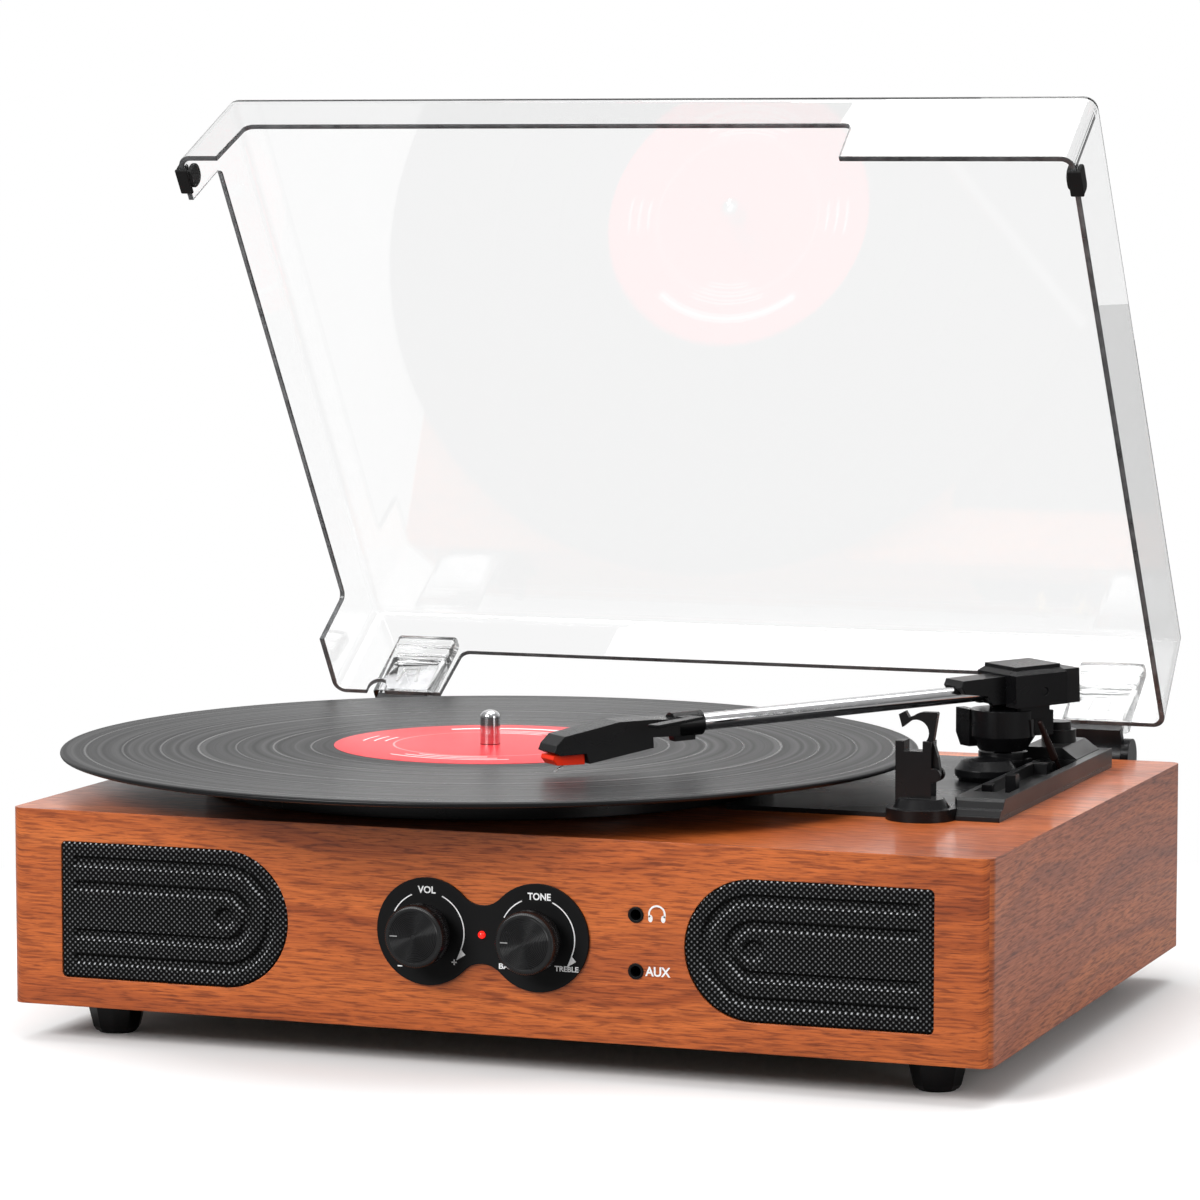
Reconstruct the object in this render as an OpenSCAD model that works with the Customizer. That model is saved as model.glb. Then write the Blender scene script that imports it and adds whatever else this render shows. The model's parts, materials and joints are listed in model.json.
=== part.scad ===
// Turntable record player: wooden plinth with two built-in speakers, belt-driven platter,
// straight tonearm, and a hinged clear dust cover with cut-outs for a full-size record.
// X runs to the right along the front, Y to the back, Z up. All values are in millimetres.
// Places are first given from the point on the floor under the middle of the plinth; at_origin()
// then moves the whole part so that its origin is under the middle of its bounding box.

/* [Plinth] */
// Width of the wooden plinth
plinth_w = 345; // [340:1:350]
// Depth of the wooden plinth
plinth_d = 254; // [250:1:258]
// Height of the wooden plinth without its feet
plinth_h = 67; // [65:1:70]
// Thickness of the front, back and side boards
wall_t = 12; // [10:1:14]
// Height of the feet
foot_h = 13; // [10:1:16]

/* [Platter and record] */
// Place of the spindle, left or right of the middle
spindle_x = -43; // [-44:1:-42]
// Place of the spindle, in front of or behind the middle
spindle_y = -12; // [-13:1:-11]
// Radius of the platter
platter_r = 100; // [96:1:102]
// Radius of a twelve-inch record
record_r = 150.8; // [150:0.1:151]
// Radius of the record's label
label_r = 55; // [50:1:56]
// Radius of the centre spindle
spindle_r = 3.55; // [3.5:0.01:3.6]

/* [Tonearm] */
// Place of the upright arm axis, to the right of the middle
pivot_x = 125; // [124:1:126]
// Place of the upright arm axis, behind the middle
pivot_y = 56; // [55:1:57]
// Height of the tilt pin above the floor
tilt_z = 112.6; // [112:0.2:113]
// Angle by which the arm leans down towards the record
arm_pitch = 2.1; // [2:0.1:2.2]
// Angle from the X axis to the arm, seen from above
arm_yaw = -131.9; // [-133:0.1:-131]

/* [Dust cover] */
// Width of the dust cover at its open edge
lid_w = 331.2; // [328:0.2:334]
// Depth of the dust cover at its open edge
lid_d = 250.9; // [249:0.1:252]
// Height of the dust cover
lid_h = 45.8; // [45:0.1:47]
// Thickness of its walls
lid_t = 2; // [1.8:0.1:2.5]
// Angle by which it stands open
lid_open = 56.1; // [0:0.1:60]

/* [Front controls] */
// Distance of each knob from the middle
knob_x = 19.4; // [19:0.1:20]
// Radius of the knobs
knob_r = 10.4; // [9.4:0.1:11]
// How far the knobs stand out from the wood
knob_out = 13.4; // [12:0.1:15]

/* [Hidden] */

$fn = 96;
eps = 0.01;
run_fit = 0.05;          // radial gap round a part that turns

// Plinth
front_y = -plinth_d / 2;
rear_y = plinth_d / 2;
top_z = foot_h + plinth_h;
corner_r = 4;
top_board_t = 9;
inner_w = plinth_w - 2 * wall_t;
inner_d = plinth_d - 2 * wall_t;
ceiling_z = top_z - top_board_t;
panel_t = 6;             // bottom panel
block_w = 18;            // glued blocks that the bottom screws bite into
block_h = 24;
block_y = 58;
pilot_r = 1.6;
screw_head_r = 3.2;
screw_head_t = 1.8;
foot_screw_z = 4.5;
foot_inset_x = 25.6;
foot_inset_y = 27.7;
foot_top_r = 10.6;
foot_base_r = 7.7;
pad_r = 6.2;
pad_t = 1;

// Speakers and their grilles
grille_outer_x = 153.5;
grille_tip_x = 70;
grille_z = [23, 69.3];
grille_h = grille_z[1] - grille_z[0];
grille_mid_z = (grille_z[0] + grille_z[1]) / 2;
grille_t = 2;
groove_w = 4;
groove_t = 0.8;
groove_in = [4.5, 13];   // how far each groove lies inside the outline
groove_end = 4.4;        // plain margin at their outer ends
recess_gap = 0.15;
cone_r = 20;
frame_r = 24.6;
speaker_x = 108;

// Front controls
panel_z = 46.3;
panel_r = 17.9;
waist_r = 9.05;
panel_out = 1;
led_r = 1.3;
jack_x = 53.3;
jack_z = [55.8, 37.3];
jack_r = 2.6;
socket_r = 1.8;
shaft_r = 3;
bushing_r = 4;
pocket_w = 30;
pocket_t = 4;            // wood left in front of the pots and jacks

// Rear sockets
rear_plate_x = -88;
rear_plate_z = 46;
line_out_x = [-16, 0];
line_out_r = 4.15;
line_out_l = 7.8;
line_out_neck_r = 3.4;
rear_plate_t = 1.5;
inlet_x = 16;
inlet_out_r = 4.2;
inlet_r = 2.75;

// Platter stack, from the wood upwards
platter_z = top_z + 0.8;
platter_top_z = 88.7;
mat_t = 3;
record_z = platter_top_z + mat_t;
record_t = 2;
record_top_z = record_z + record_t;
label_t = 0.12;
pin_z = record_top_z + label_t + 0.15; // where the spindle's full width starts
spindle_top_z = 106;
hole_r = 3.62;
axle_r = 3;
belt_ring_r = 75;
motor_angle = 135;
motor_dist = 85.5;
pulley_r = 5.5;
belt_t = 0.6;
belt_z = [82.2, 86.2];
motor_x = spindle_x + motor_dist * cos(motor_angle);
motor_y = spindle_y + motor_dist * sin(motor_angle);
motor_r = 16;
motor_h = 24;

// Deck behind the arm
plate_x = [57, 152.5];
plate_y = [-47, 104.5];
plate_t = 1.6;
plate_z = top_z + plate_t;
platter_gap = 2.5;
cover_x = 135;
cover_rear_x = 126;
cover_rear_y = 66;
cover_top_z = 87;
recess_x = [137, 149.5];
recess_y = [-24, 67];
recess_z = 83;
rest_x = 125.2;
rest_y = -46;
rest_r = 11.9;
post_x = 123.3;
post_w = 12.4;
post_d = 6.5;
post_top_z = 106.3;
slot_w = 6.4;
slot_z = 102.9;
clip_x = 130.2;
clip_z = 95;
clip_t = 2.6;
clip_eye_r = 2;
clip_pin_r = 1;

// Arm heights and lengths: distances along the arm start at the tilt pin
tilt_s = -9.5;           // the tilt pin lies behind the upright axis
tilt_pin_r = 1.4;
tube_r = 3;
tube_span = [17, 134];
housing_span = [-9.5, 12];
housing_w = 25;
housing_wall = 2;
channel_w = 11.6;
swivel_r = 11.5;
arm_shaft_r = 3;
flange_x = 122;
flange_y = 45;
flange_turn = atan2(flange_y - pivot_y, flange_x - pivot_x) + 180;

// Dust cover, drawn shut
lid_rest_z = top_z + 1.5;
lid_front_y = front_y + 1;
lid_rear_y = lid_front_y + lid_d;
lid_draft_x = 2.1;
lid_draft_y = 3.6;
lid_lean = 0.6;          // how far the top sits back from the middle of the open edge
lid_round = 5;
lid_bevel = 4;
cutout_h = 23.8;
cutout_lean = 1.9;
hinge_y = 138.3;
hinge_z = 79.4;
hinge_x = 138.2;
hinge_pin_r = 2;
ear_r = 7;
ear_t = 3;
bracket_w = 26.9;
leaf_w = bracket_w - 2 * ear_t - 0.6;
socket_z = lid_rest_z + 2.6;
socket_d = 6;
bumper_y = lid_front_y + 10.4;
bumper_l = 10.6;
tongue_y = lid_rear_y + socket_d / 2;
tongue_t = 3;
tongue_top_z = hinge_z + 22.2;

// Middle of the bounding box, with the cover open
lid_corner = turned_x([lid_rear_y - hinge_y - lid_draft_y + lid_lean - lid_bevel / 4,
    lid_rest_z + lid_h - lid_bevel / 4 - hinge_z], -lid_open);
box_x = [spindle_x - record_r, plinth_w / 2];
box_y = [spindle_y - record_r, hinge_y + lid_corner[0]];

wood = [0.72, 0.38, 0.18];
black = [0.10, 0.10, 0.11];
dark = [0.16, 0.16, 0.17];
steel = [0.78, 0.79, 0.80];
brass = [0.80, 0.62, 0.28];
red = [0.90, 0.13, 0.10];
green = [0.10, 0.35, 0.22];
clear = [0.85, 0.90, 0.92, 0.35];

function turned_x(v, a) = [v[0] * cos(a) - v[1] * sin(a), v[0] * sin(a) + v[1] * cos(a)];

function arc(c, r, from, to, n = 12) =
    [for (i = [0:n]) let (a = from + (to - from) * i / n) c + r * [cos(a), sin(a)]];

function round_box(w, d, r, n = 6) = concat(
    arc([w / 2 - r, d / 2 - r], r, 0, 90, n), arc([r - w / 2, d / 2 - r], r, 90, 180, n),
    arc([r - w / 2, r - d / 2], r, 180, 270, n), arc([w / 2 - r, r - d / 2], r, 270, 360, n));

// Outline of a speaker grille: two small corners outside, a half circle towards the middle
function grille_outline(inset, r = 1.8) = let (
        h = grille_h / 2 - inset, outer = grille_outer_x - speaker_x - inset,
        c = h - (speaker_x - grille_tip_x - inset), q = max(r - inset / 4, 0.5))
    concat(arc([outer - q, h - q], q, 0, 90, 4), arc([c, 0], h, 90, 270, 32),
        arc([outer - q, q - h], q, 270, 360, 4));

// The same shape further in, open-ended towards the outside
function groove_outline(inset, end) = let (h = grille_h / 2 - inset)
    concat([[end, h]], arc([h - speaker_x + grille_tip_x + inset, 0], h, 90, 270, 32), [[end, -h]]);

// Figure of eight round the two knobs
function panel_outline() = let (
        waist = [0, sqrt(pow(panel_r + waist_r, 2) - knob_x * knob_x)],
        a = atan2(waist[1], knob_x))
    concat(arc([knob_x, 0], panel_r, a - 180, 180 - a, 36),
        arc(waist, waist_r, -a, a - 180, 12),
        arc([-knob_x, 0], panel_r, a, 360 - a, 36),
        arc(-waist, waist_r, 180 - a, a, 12));

module at_origin() {
    translate([-(box_x[0] + box_x[1]) / 2, -(box_y[0] + box_y[1]) / 2, 0]) children();
}

// Draws on the front face: X to the right, Y up, Z out towards the viewer
module on_front(x, z) {
    translate([x, front_y, z]) rotate([90, 0, 0]) children();
}

module on_rear(x, z) {
    translate([x, rear_y, z]) rotate([90, 0, 180]) children();
}

// Along the arm: X from the upright axis towards the stylus, Z up
module arm_frame() {
    translate([pivot_x, pivot_y, 0]) rotate([0, 0, arm_yaw]) children();
}

// The leaning part of the arm: X along the tube from the tilt pin
module tilt_frame() {
    arm_frame() translate([tilt_s, 0, tilt_z]) rotate([0, arm_pitch, 0]) children();
}

module lid_frame() {
    translate([0, hinge_y, hinge_z]) rotate([-lid_open, 0, 0])
        translate([0, -hinge_y, -hinge_z]) children();
}

module both_sides() {
    children();
    mirror([1, 0, 0]) children();
}

module tube(r_out, r_in, h) {
    difference() {
        cylinder(h = h, r = r_out);
        translate([0, 0, -1]) cylinder(h = h + 2, r = r_in);
    }
}

// A block whose side view, along the arm and up, is an outline
module side_profile(points, w) {
    rotate([90, 0, 0]) translate([0, 0, -w / 2]) linear_extrude(w) polygon(points);
}

module at_bottom_screws() {
    for (x = [-1, 1], y = [-1, 1])
        translate([x * (inner_w - block_w) / 2, y * block_y, foot_h]) children();
}

module at_feet() {
    for (x = [-1, 1], y = [-1, 1])
        translate([x * (plinth_w / 2 - foot_inset_x), y * (plinth_d / 2 - foot_inset_y), 0])
            children();
}

// ---- Plinth ----

module cabinet() {
    at_origin() color(wood) difference() {
        translate([0, 0, foot_h]) linear_extrude(plinth_h)
            polygon(round_box(plinth_w, plinth_d, corner_r));
        difference() {
            translate([-inner_w / 2, -inner_d / 2, foot_h - 1])
                cube([inner_w, inner_d, ceiling_z - foot_h + 1]);
            at_bottom_screws() translate([0, 0, panel_t + block_h / 2])
                cube([block_w + 1, block_w, block_h], center = true);
        }
        at_bottom_screws() cylinder(h = 22, r = pilot_r);
        both_sides() {
            on_front(speaker_x, grille_mid_z) {
                translate([0, 0, -grille_t]) linear_extrude(grille_t + 1)
                    polygon(grille_outline(-recess_gap));
                translate([0, 0, -wall_t - 1]) cylinder(h = wall_t + 1, r = cone_r);
            }
            on_front(knob_x, panel_z) {
                translate([0, 0, -wall_t - 1]) cylinder(h = wall_t + 2, r = bushing_r);
                translate([-pocket_w / 2, -pocket_w / 2, -wall_t - 1])
                    cube([pocket_w, pocket_w, wall_t + 1 - pocket_t]);
            }
        }
        on_front(0, panel_z) translate([0, 0, -wall_t - 1]) cylinder(h = wall_t + 2, r = 2.2);
        for (z = jack_z) on_front(jack_x, z) {
            translate([0, 0, -wall_t - 1]) cylinder(h = wall_t + 2, r = jack_r);
            translate([-6, -6, -wall_t - 1]) cube([12, 12, wall_t + 1 - pocket_t]);
        }
        on_rear(-rear_plate_x, rear_plate_z)
            translate([-22, -10, -wall_t - 1]) cube([44, 20, wall_t + 2]);
        translate([spindle_x, spindle_y, ceiling_z - 1]) cylinder(h = 20, r = 7);
        translate([motor_x, motor_y, ceiling_z - 1]) cylinder(h = 20, r = 8);
        arm_frame() translate([0, 0, ceiling_z - 1]) cylinder(h = 20, r = 6);
    }
}

module bottom_panel() {
    gap = 0.2;
    at_origin() color(dark) difference() {
        translate([-inner_w / 2 + gap, -inner_d / 2 + gap, foot_h])
            cube([inner_w - 2 * gap, inner_d - 2 * gap, panel_t]);
        at_bottom_screws() translate([0, 0, -1]) cylinder(h = panel_t + 2, r = pilot_r);
        at_feet() cylinder(h = foot_h + panel_t + 1, r = pilot_r);
        for (x = [-40:10:40]) translate([x, 60, foot_h - 1])
            linear_extrude(panel_t + 2) polygon(round_box(4, 40, 2));
    }
}

// Screws that hold the bottom panel, and the ones sunk in the feet
module base_screws() {
    at_origin() color(steel) {
        at_bottom_screws() base_screw(18);
        at_feet() translate([0, 0, foot_screw_z]) base_screw(foot_h + panel_t - 1 - foot_screw_z);
    }
}

module base_screw(l) {
    translate([0, 0, -screw_head_t]) difference() {
        cylinder(h = screw_head_t, r = screw_head_r);
        translate([0, 0, -1]) cylinder(h = 2, r = 1.3, $fn = 6);
    }
    cylinder(h = l, r = pilot_r);
}

// Ten-sided foot, hollowed below for its screw and its pad
module foot(x, y) {
    at_origin() color(black)
        translate([x * (plinth_w / 2 - foot_inset_x), y * (plinth_d / 2 - foot_inset_y), 0])
            difference() {
                hull() {
                    translate([0, 0, foot_h - 1]) cylinder(h = 1, r = foot_top_r, $fn = 10);
                    translate([0, 0, 2]) cylinder(h = 1, r = foot_base_r + 0.5, $fn = 10);
                    translate([0, 0, 0.6]) cylinder(h = 1, r = foot_base_r - 0.5, $fn = 10);
                }
                cylinder(h = pad_t, r = pad_r);
                cylinder(h = foot_screw_z, r = screw_head_r);
                cylinder(h = foot_h + 1, r = pilot_r);
            }
}

module foot_front_left() { foot(-1, -1); }

module foot_front_right() { foot(1, -1); }

module foot_rear_left() { foot(-1, 1); }

module foot_rear_right() { foot(1, 1); }

module foot_pads() {
    at_origin() color(dark) at_feet() cylinder(h = pad_t, r = pad_r);
}

// ---- Speakers ----

module grille(side) {
    at_origin() color(black) mirror([side < 0 ? 1 : 0, 0, 0])
        on_front(speaker_x, grille_mid_z) translate([0, 0, -grille_t]) difference() {
            linear_extrude(grille_t) polygon(grille_outline(0));
            translate([0, 0, grille_t - groove_t]) linear_extrude(1)
                for (inset = groove_in) difference() {
                    polygon(groove_outline(inset, grille_outer_x - speaker_x - groove_end));
                    polygon(groove_outline(inset + groove_w, grille_outer_x));
                }
            translate([grille_h / 2 - (speaker_x - grille_tip_x), 0, grille_t - groove_t])
                cylinder(h = 1, r = 3.6);
        }
}

module grille_left() { grille(-1); }

module grille_right() { grille(1); }

// Sets something behind the front board at both speakers; Z points into the cabinet
module at_speakers() {
    for (x = [-speaker_x, speaker_x])
        on_front(x, grille_mid_z) translate([0, 0, -wall_t]) mirror([0, 0, 1]) children();
}

// Pressed basket with a flat rim, and the magnet behind it
module speaker_frames() {
    at_origin() color(steel) at_speakers() {
        tube(frame_r, cone_r, 1.5);
        translate([0, 0, 1.5]) difference() {
            cylinder(h = 15, r1 = frame_r - 1, r2 = 17);
            translate([0, 0, -1]) cylinder(h = 14.5, r1 = frame_r - 2.4, r2 = 15.5);
        }
        translate([0, 0, 16.5]) cylinder(h = 9, r = 18);
    }
}

module speaker_cones() {
    at_origin() color(dark) at_speakers() translate([0, 0, 1.5]) difference() {
        cylinder(h = 11, r1 = cone_r + 1.5, r2 = 8);
        translate([0, 0, -1]) cylinder(h = 11.2, r1 = cone_r + 1.8, r2 = 7.6);
    }
}

// ---- Front controls ----

module control_panel() {
    at_origin() color(black) on_front(0, panel_z) difference() {
        linear_extrude(panel_out) polygon(panel_outline());
        for (x = [-knob_x, knob_x]) translate([x, 0, -1]) cylinder(h = 3, r = bushing_r);
        translate([0, 0, -1]) cylinder(h = 3, r = led_r);
    }
}

module power_led() {
    at_origin() color(red) on_front(0, panel_z) rotate_extrude() polygon(concat(
        [[0, -4.5], [2.1, -4.5], [2.1, -3], [led_r, -3]], arc([0, panel_out], led_r, 0, 90, 6)));
}

module pot(side) {
    at_origin() color(steel) on_front(side * knob_x, panel_z) difference() {
        union() {
            translate([-8, -8, -pocket_t - 7]) cube([16, 16, 7]);
            translate([0, 0, -pocket_t]) cylinder(h = pocket_t + panel_out, r = bushing_r);
        }
        translate([0, 0, -pocket_t - 6]) cylinder(h = 20, r = shaft_r + run_fit);
    }
}

module volume_pot() { pot(-1); }

module tone_pot() { pot(1); }

module pot_shaft(side) {
    at_origin() color(steel) on_front(side * knob_x, panel_z)
        translate([0, 0, -pocket_t - 5.5]) cylinder(h = knob_out + pocket_t + 2.5, r = shaft_r);
}

module volume_shaft() { pot_shaft(-1); }

module tone_shaft() { pot_shaft(1); }

module knob(side) {
    skirt_r = knob_r - 1.6;
    at_origin() color(black) on_front(side * knob_x, panel_z) difference() {
        union() {
            translate([0, 0, panel_out + 0.6]) cylinder(h = 5, r = skirt_r);
            translate([0, 0, 5.6]) cylinder(h = knob_out - 6.2, r = knob_r);
            translate([0, 0, knob_out - 0.6]) cylinder(h = 0.6, r1 = knob_r, r2 = knob_r - 0.6);
        }
        translate([0, 0, -1]) cylinder(h = knob_out - 2, r = shaft_r);
    }
}

module volume_knob() { knob(-1); }

module tone_knob() { knob(1); }

module jack(z) {
    at_origin() color(black) on_front(jack_x, z) difference() {
        union() {
            translate([0, 0, -pocket_t]) cylinder(h = pocket_t + 0.4, r = jack_r);
            translate([-5, -5, -pocket_t - 12]) cube([10, 10, 12]);
        }
        translate([0, 0, -14]) cylinder(h = 20, r = socket_r);
    }
}

module headphone_jack() { jack(jack_z[0]); }

module aux_jack() { jack(jack_z[1]); }

module amplifier_board() {
    at_origin() color(green) {
        translate([-45, front_y + wall_t + 18, 26]) cube([110, 60, 1.6]);
        translate([-30, front_y + wall_t + 30, 27.6]) cube([26, 10, 14]);
        for (x = [10, 24, 38]) translate([x, front_y + wall_t + 60, 27.6])
            cylinder(h = 12, r = 5);
        for (x = [-40, 60], y = [23, 73]) translate([x, front_y + wall_t + y, foot_h + panel_t])
            cylinder(h = 7, r = 2.5);
    }
}

// ---- Rear sockets ----

module rear_jack_plate() {
    at_origin() color(black) on_rear(-rear_plate_x, rear_plate_z) difference() {
        translate([-27, -13, 0]) cube([54, 26, rear_plate_t]);
        for (x = line_out_x) translate([x, 0, -1]) cylinder(h = 4, r = line_out_neck_r);
        translate([inlet_x, 0, -1]) cylinder(h = 4, r = inlet_out_r);
    }
}

module line_out_jacks() {
    at_origin() color(brass) on_rear(-rear_plate_x, rear_plate_z)
        for (x = line_out_x) translate([x, 0, 0]) difference() {
            union() {
                translate([0, 0, -10]) cylinder(h = 19, r = line_out_neck_r);
                translate([0, 0, rear_plate_t + 0.2]) cylinder(h = line_out_l, r = line_out_r);
            }
            translate([0, 0, rear_plate_t]) cylinder(h = 9, r = 1.7);
        }
}

module power_inlet() {
    at_origin() color(black) on_rear(-rear_plate_x, rear_plate_z)
        translate([inlet_x, 0, -11]) difference() {
            cylinder(h = 13, r = inlet_out_r);
            translate([0, 0, 2]) cylinder(h = 12, r = inlet_r);
        }
}

// ---- Drive ----

module motor() {
    at_origin() color(steel) translate([motor_x, motor_y, 0]) difference() {
        union() {
            translate([0, 0, ceiling_z - motor_h]) cylinder(h = motor_h - 2, r = motor_r);
            translate([0, 0, ceiling_z - 2])
                linear_extrude(2) polygon(round_box(48, 36, 6));
        }
        translate([0, 0, ceiling_z - motor_h + 2]) cylinder(h = motor_h, r = 1 + run_fit);
    }
}

module motor_pulley() {
    at_origin() color(brass) translate([motor_x, motor_y, 0]) {
        translate([0, 0, ceiling_z - motor_h + 3]) cylinder(h = belt_z[0] - ceiling_z + motor_h - 3,
            r = 1);
        translate([0, 0, belt_z[0] - 0.6]) cylinder(h = belt_z[1] - belt_z[0] + 0.8, r = pulley_r);
    }
}

// Open belt round the platter's ring and the pulley
module belt_outline(extra) {
    a = acos((belt_ring_r - pulley_r) / motor_dist);
    polygon(concat(arc([0, 0], belt_ring_r + extra, a, 360 - a, 96),
        arc([motor_dist, 0], pulley_r + extra, -a, a, 16)));
}

module drive_belt() {
    at_origin() color(dark) translate([spindle_x, spindle_y, belt_z[0]])
        rotate([0, 0, motor_angle]) linear_extrude(belt_z[1] - belt_z[0]) difference() {
            belt_outline(0.1 + belt_t);
            belt_outline(0.1);
        }
}

module bearing_bush() {
    at_origin() color(brass) translate([spindle_x, spindle_y, 0]) difference() {
        union() {
            translate([0, 0, ceiling_z - 14]) cylinder(h = top_z - ceiling_z + 14, r = 7);
            translate([0, 0, ceiling_z - 2]) cylinder(h = 2, r = 14);
        }
        translate([0, 0, ceiling_z - 12]) cylinder(h = 40, r = axle_r + run_fit);
    }
}

module spindle() {
    dome = 2.6;
    at_origin() color(steel) translate([spindle_x, spindle_y, 0]) rotate_extrude() polygon(concat(
        [[0, ceiling_z - 11], [axle_r, ceiling_z - 11], [axle_r, pin_z], [spindle_r, pin_z]],
        [for (i = [0:8]) let (a = i * 90 / 8)
            [spindle_r * cos(a), spindle_top_z - dome + dome * sin(a)]]));
}

module platter() {
    rim_t = 3;
    top_t = 2;
    ring_t = 2;
    at_origin() color(dark) translate([spindle_x, spindle_y, 0]) difference() {
        translate([0, 0, platter_z]) cylinder(h = platter_top_z - platter_z, r = platter_r);
        translate([0, 0, platter_z - 1]) difference() {
            cylinder(h = platter_top_z - platter_z - top_t + 1, r = platter_r - rim_t);
            tube(belt_ring_r, belt_ring_r - ring_t, 20);
            cylinder(h = 20, r = 12);
        }
        translate([0, 0, platter_z - 1]) cylinder(h = 20, r = axle_r);
    }
}

module platter_mat() {
    at_origin() color(black) translate([spindle_x, spindle_y, platter_top_z])
        tube(platter_r - 2, hole_r, mat_t);
}

module record() {
    at_origin() color(black) translate([spindle_x, spindle_y, record_z]) difference() {
        union() {
            cylinder(h = record_t - 0.5, r = record_r);
            translate([0, 0, record_t - 0.5])
                cylinder(h = 0.5, r1 = record_r, r2 = record_r - 0.9);
        }
        translate([0, 0, -1]) cylinder(h = record_t + 2, r = hole_r);
    }
}

module record_label() {
    at_origin() color(red) translate([spindle_x, spindle_y, record_top_z])
        tube(label_r, hole_r, label_t);
}

// ---- Deck ----

module deck_plate() {
    at_origin() color(black) difference() {
        translate([plate_x[0], plate_y[0], top_z])
            cube([plate_x[1] - plate_x[0], plate_y[1] - plate_y[0], plate_t]);
        translate([spindle_x, spindle_y, top_z - 1])
            cylinder(h = plate_t + 2, r = platter_r + platter_gap);
        translate([rest_x, rest_y, top_z - 1]) cylinder(h = plate_t + 2, r = rest_r);
        arm_frame() translate([0, 0, top_z - 1]) cylinder(h = plate_t + 2, r = 6);
    }
}

// Raised strip along the right edge, with a stepped nose and an open slot for two slide switches
module mechanism_cover() {
    l = plate_y[1] - plate_y[0];
    h = cover_top_z - plate_z;
    at_origin() color(black) difference() {
        union() {
            translate([cover_x, plate_y[0], plate_z]) rotate([90, 0, 90])
                linear_extrude(plate_x[1] - cover_x) polygon([[0.6, 0], [2.2, 2], [4.4, 2.2],
                    [6, h - 1], [7.5, h], [l, h], [l, 0]]);
            translate([cover_rear_x, cover_rear_y, plate_z])
                cube([cover_x - cover_rear_x + 1, plate_y[1] - cover_rear_y, h]);
        }
        difference() {
            translate([recess_x[0], recess_y[0], recess_z])
                cube([recess_x[1] - recess_x[0], recess_y[1] - recess_y[0], 20]);
            translate([recess_x[0], recess_y[1] - 14, recess_z - 1]) cube([5, 5, 5.4]);
            translate([recess_x[0], recess_y[1] - 5, recess_z - 1]) cube([4.5, 6, 4]);
        }
        translate([rest_x, rest_y, top_z]) cylinder(h = 20, r = rest_r + 0.1);
    }
}

// Sloped block behind the arm with a stepped turret, where the arm's wires go down
module wire_guide_block() {
    at_origin() color(dark) translate([138.5, 82, cover_top_z]) {
        side_slope = 4;
        rotate([90, 0, 0]) translate([0, 0, -18]) linear_extrude(32)
            polygon([[-11, 0], [-9, side_slope], [5, side_slope], [10.5, 0]]);
        translate([-1, 4, side_slope]) cylinder(h = 4.6, r = 6.2);
        translate([-1, 4, side_slope + 4.6]) cylinder(h = 2.8, r = 4.4);
    }
}

module speed_selector() {
    at_origin() color(black) translate([140, -16, recess_z + run_fit]) {
        translate([-2.4, -4, 0]) cube([4.8, 8, 1.2]);
        translate([-1.8, -2, 1.2]) cube([3.6, 4, 4.3]);
    }
}

module auto_stop_switch() {
    at_origin() color(black) translate([145.6, -6, recess_z + run_fit]) {
        translate([-2.4, -4, 0]) cube([4.8, 8, 1.2]);
        translate([-1.8, -2.4, 1.2]) cube([3.6, 4.8, 6.6]);
    }
}

// Forked post on a round base; the arm lies in its slot. A clevis in its right side, cut
// through the right prong, holds the clip's pin.
module arm_rest() {
    at_origin() color(black) {
        difference() {
            union() {
                translate([rest_x, rest_y, top_z]) cylinder(h = 4, r = rest_r);
                translate([rest_x, rest_y, top_z + 4]) cylinder(h = 3, r1 = 9.6, r2 = 7.6);
                translate([post_x - post_w / 2, rest_y - post_d / 2, top_z + 4])
                    cube([post_w, post_d, post_top_z - top_z - 4]);
                at_clip() cylinder(h = post_d, r = clip_eye_r + 0.4, center = true);
            }
            translate([post_x - slot_w / 2, rest_y - post_d, slot_z])
                cube([slot_w, 2 * post_d, 20]);
            at_clip() linear_extrude(clip_t + 0.3, center = true) polygon([[-2.7, -2.7],
                [-2.7, 5], [-5, 9], [-5, 30], [12, 30], [12, -2.7]]);
        }
        at_clip() cylinder(h = post_d, r = clip_pin_r, center = true);
    }
}

// Draws the clip as seen from the front, centred on its pin
module at_clip() {
    translate([clip_x, rest_y, clip_z]) rotate([90, 0, 0]) children();
}

// Hook that swings over the parked arm
module arm_clip() {
    at_origin() color(black) at_clip() linear_extrude(clip_t, center = true) difference() {
        polygon(concat(arc([0, 0], clip_eye_r, 150, 360, 14), [[1, 6], [-0.6, 11.2], [0.9, 20.6],
            [0.5, 21]], arc([-3.4, 14.6], 6.4, 96, 128, 4), [[-9.1, 19], [-10.4, 21.1],
            [-12.6, 19.9], [-11.4, 15.6], [-9.6, 17]], arc([-6.5, 13.9], 4.4, 120, -30, 10),
            [[-3.2, 9.6], [-1.6, 5]]));
        circle(r = clip_pin_r + run_fit);
    }
}

// ---- Tonearm ----

// Fixed base: a chamfered flange that reaches forward, and a neck with the bearing bore
module arm_pedestal() {
    foot_ring = [[0, 0], [9.4, 0], [11, 1.8], [11, 4], [8.6, 7.2], [0, 8.4]];
    at_origin() color(black) difference() {
        union() {
            translate([flange_x, flange_y, plate_z]) rotate_extrude() polygon(foot_ring);
            translate([pivot_x, pivot_y, plate_z]) rotate([0, 0, flange_turn])
                translate([-14, -8.6, 0]) cube([20, 17.2, 6.4]);
            translate([pivot_x, pivot_y, plate_z]) cylinder(h = 9, r = 8.6);
            translate([pivot_x, pivot_y, ceiling_z - 6])
                cylinder(h = plate_z - ceiling_z + 6, r = 6);
        }
        translate([pivot_x, pivot_y, ceiling_z - 5]) cylinder(h = 60, r = arm_shaft_r + run_fit);
    }
}

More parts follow.
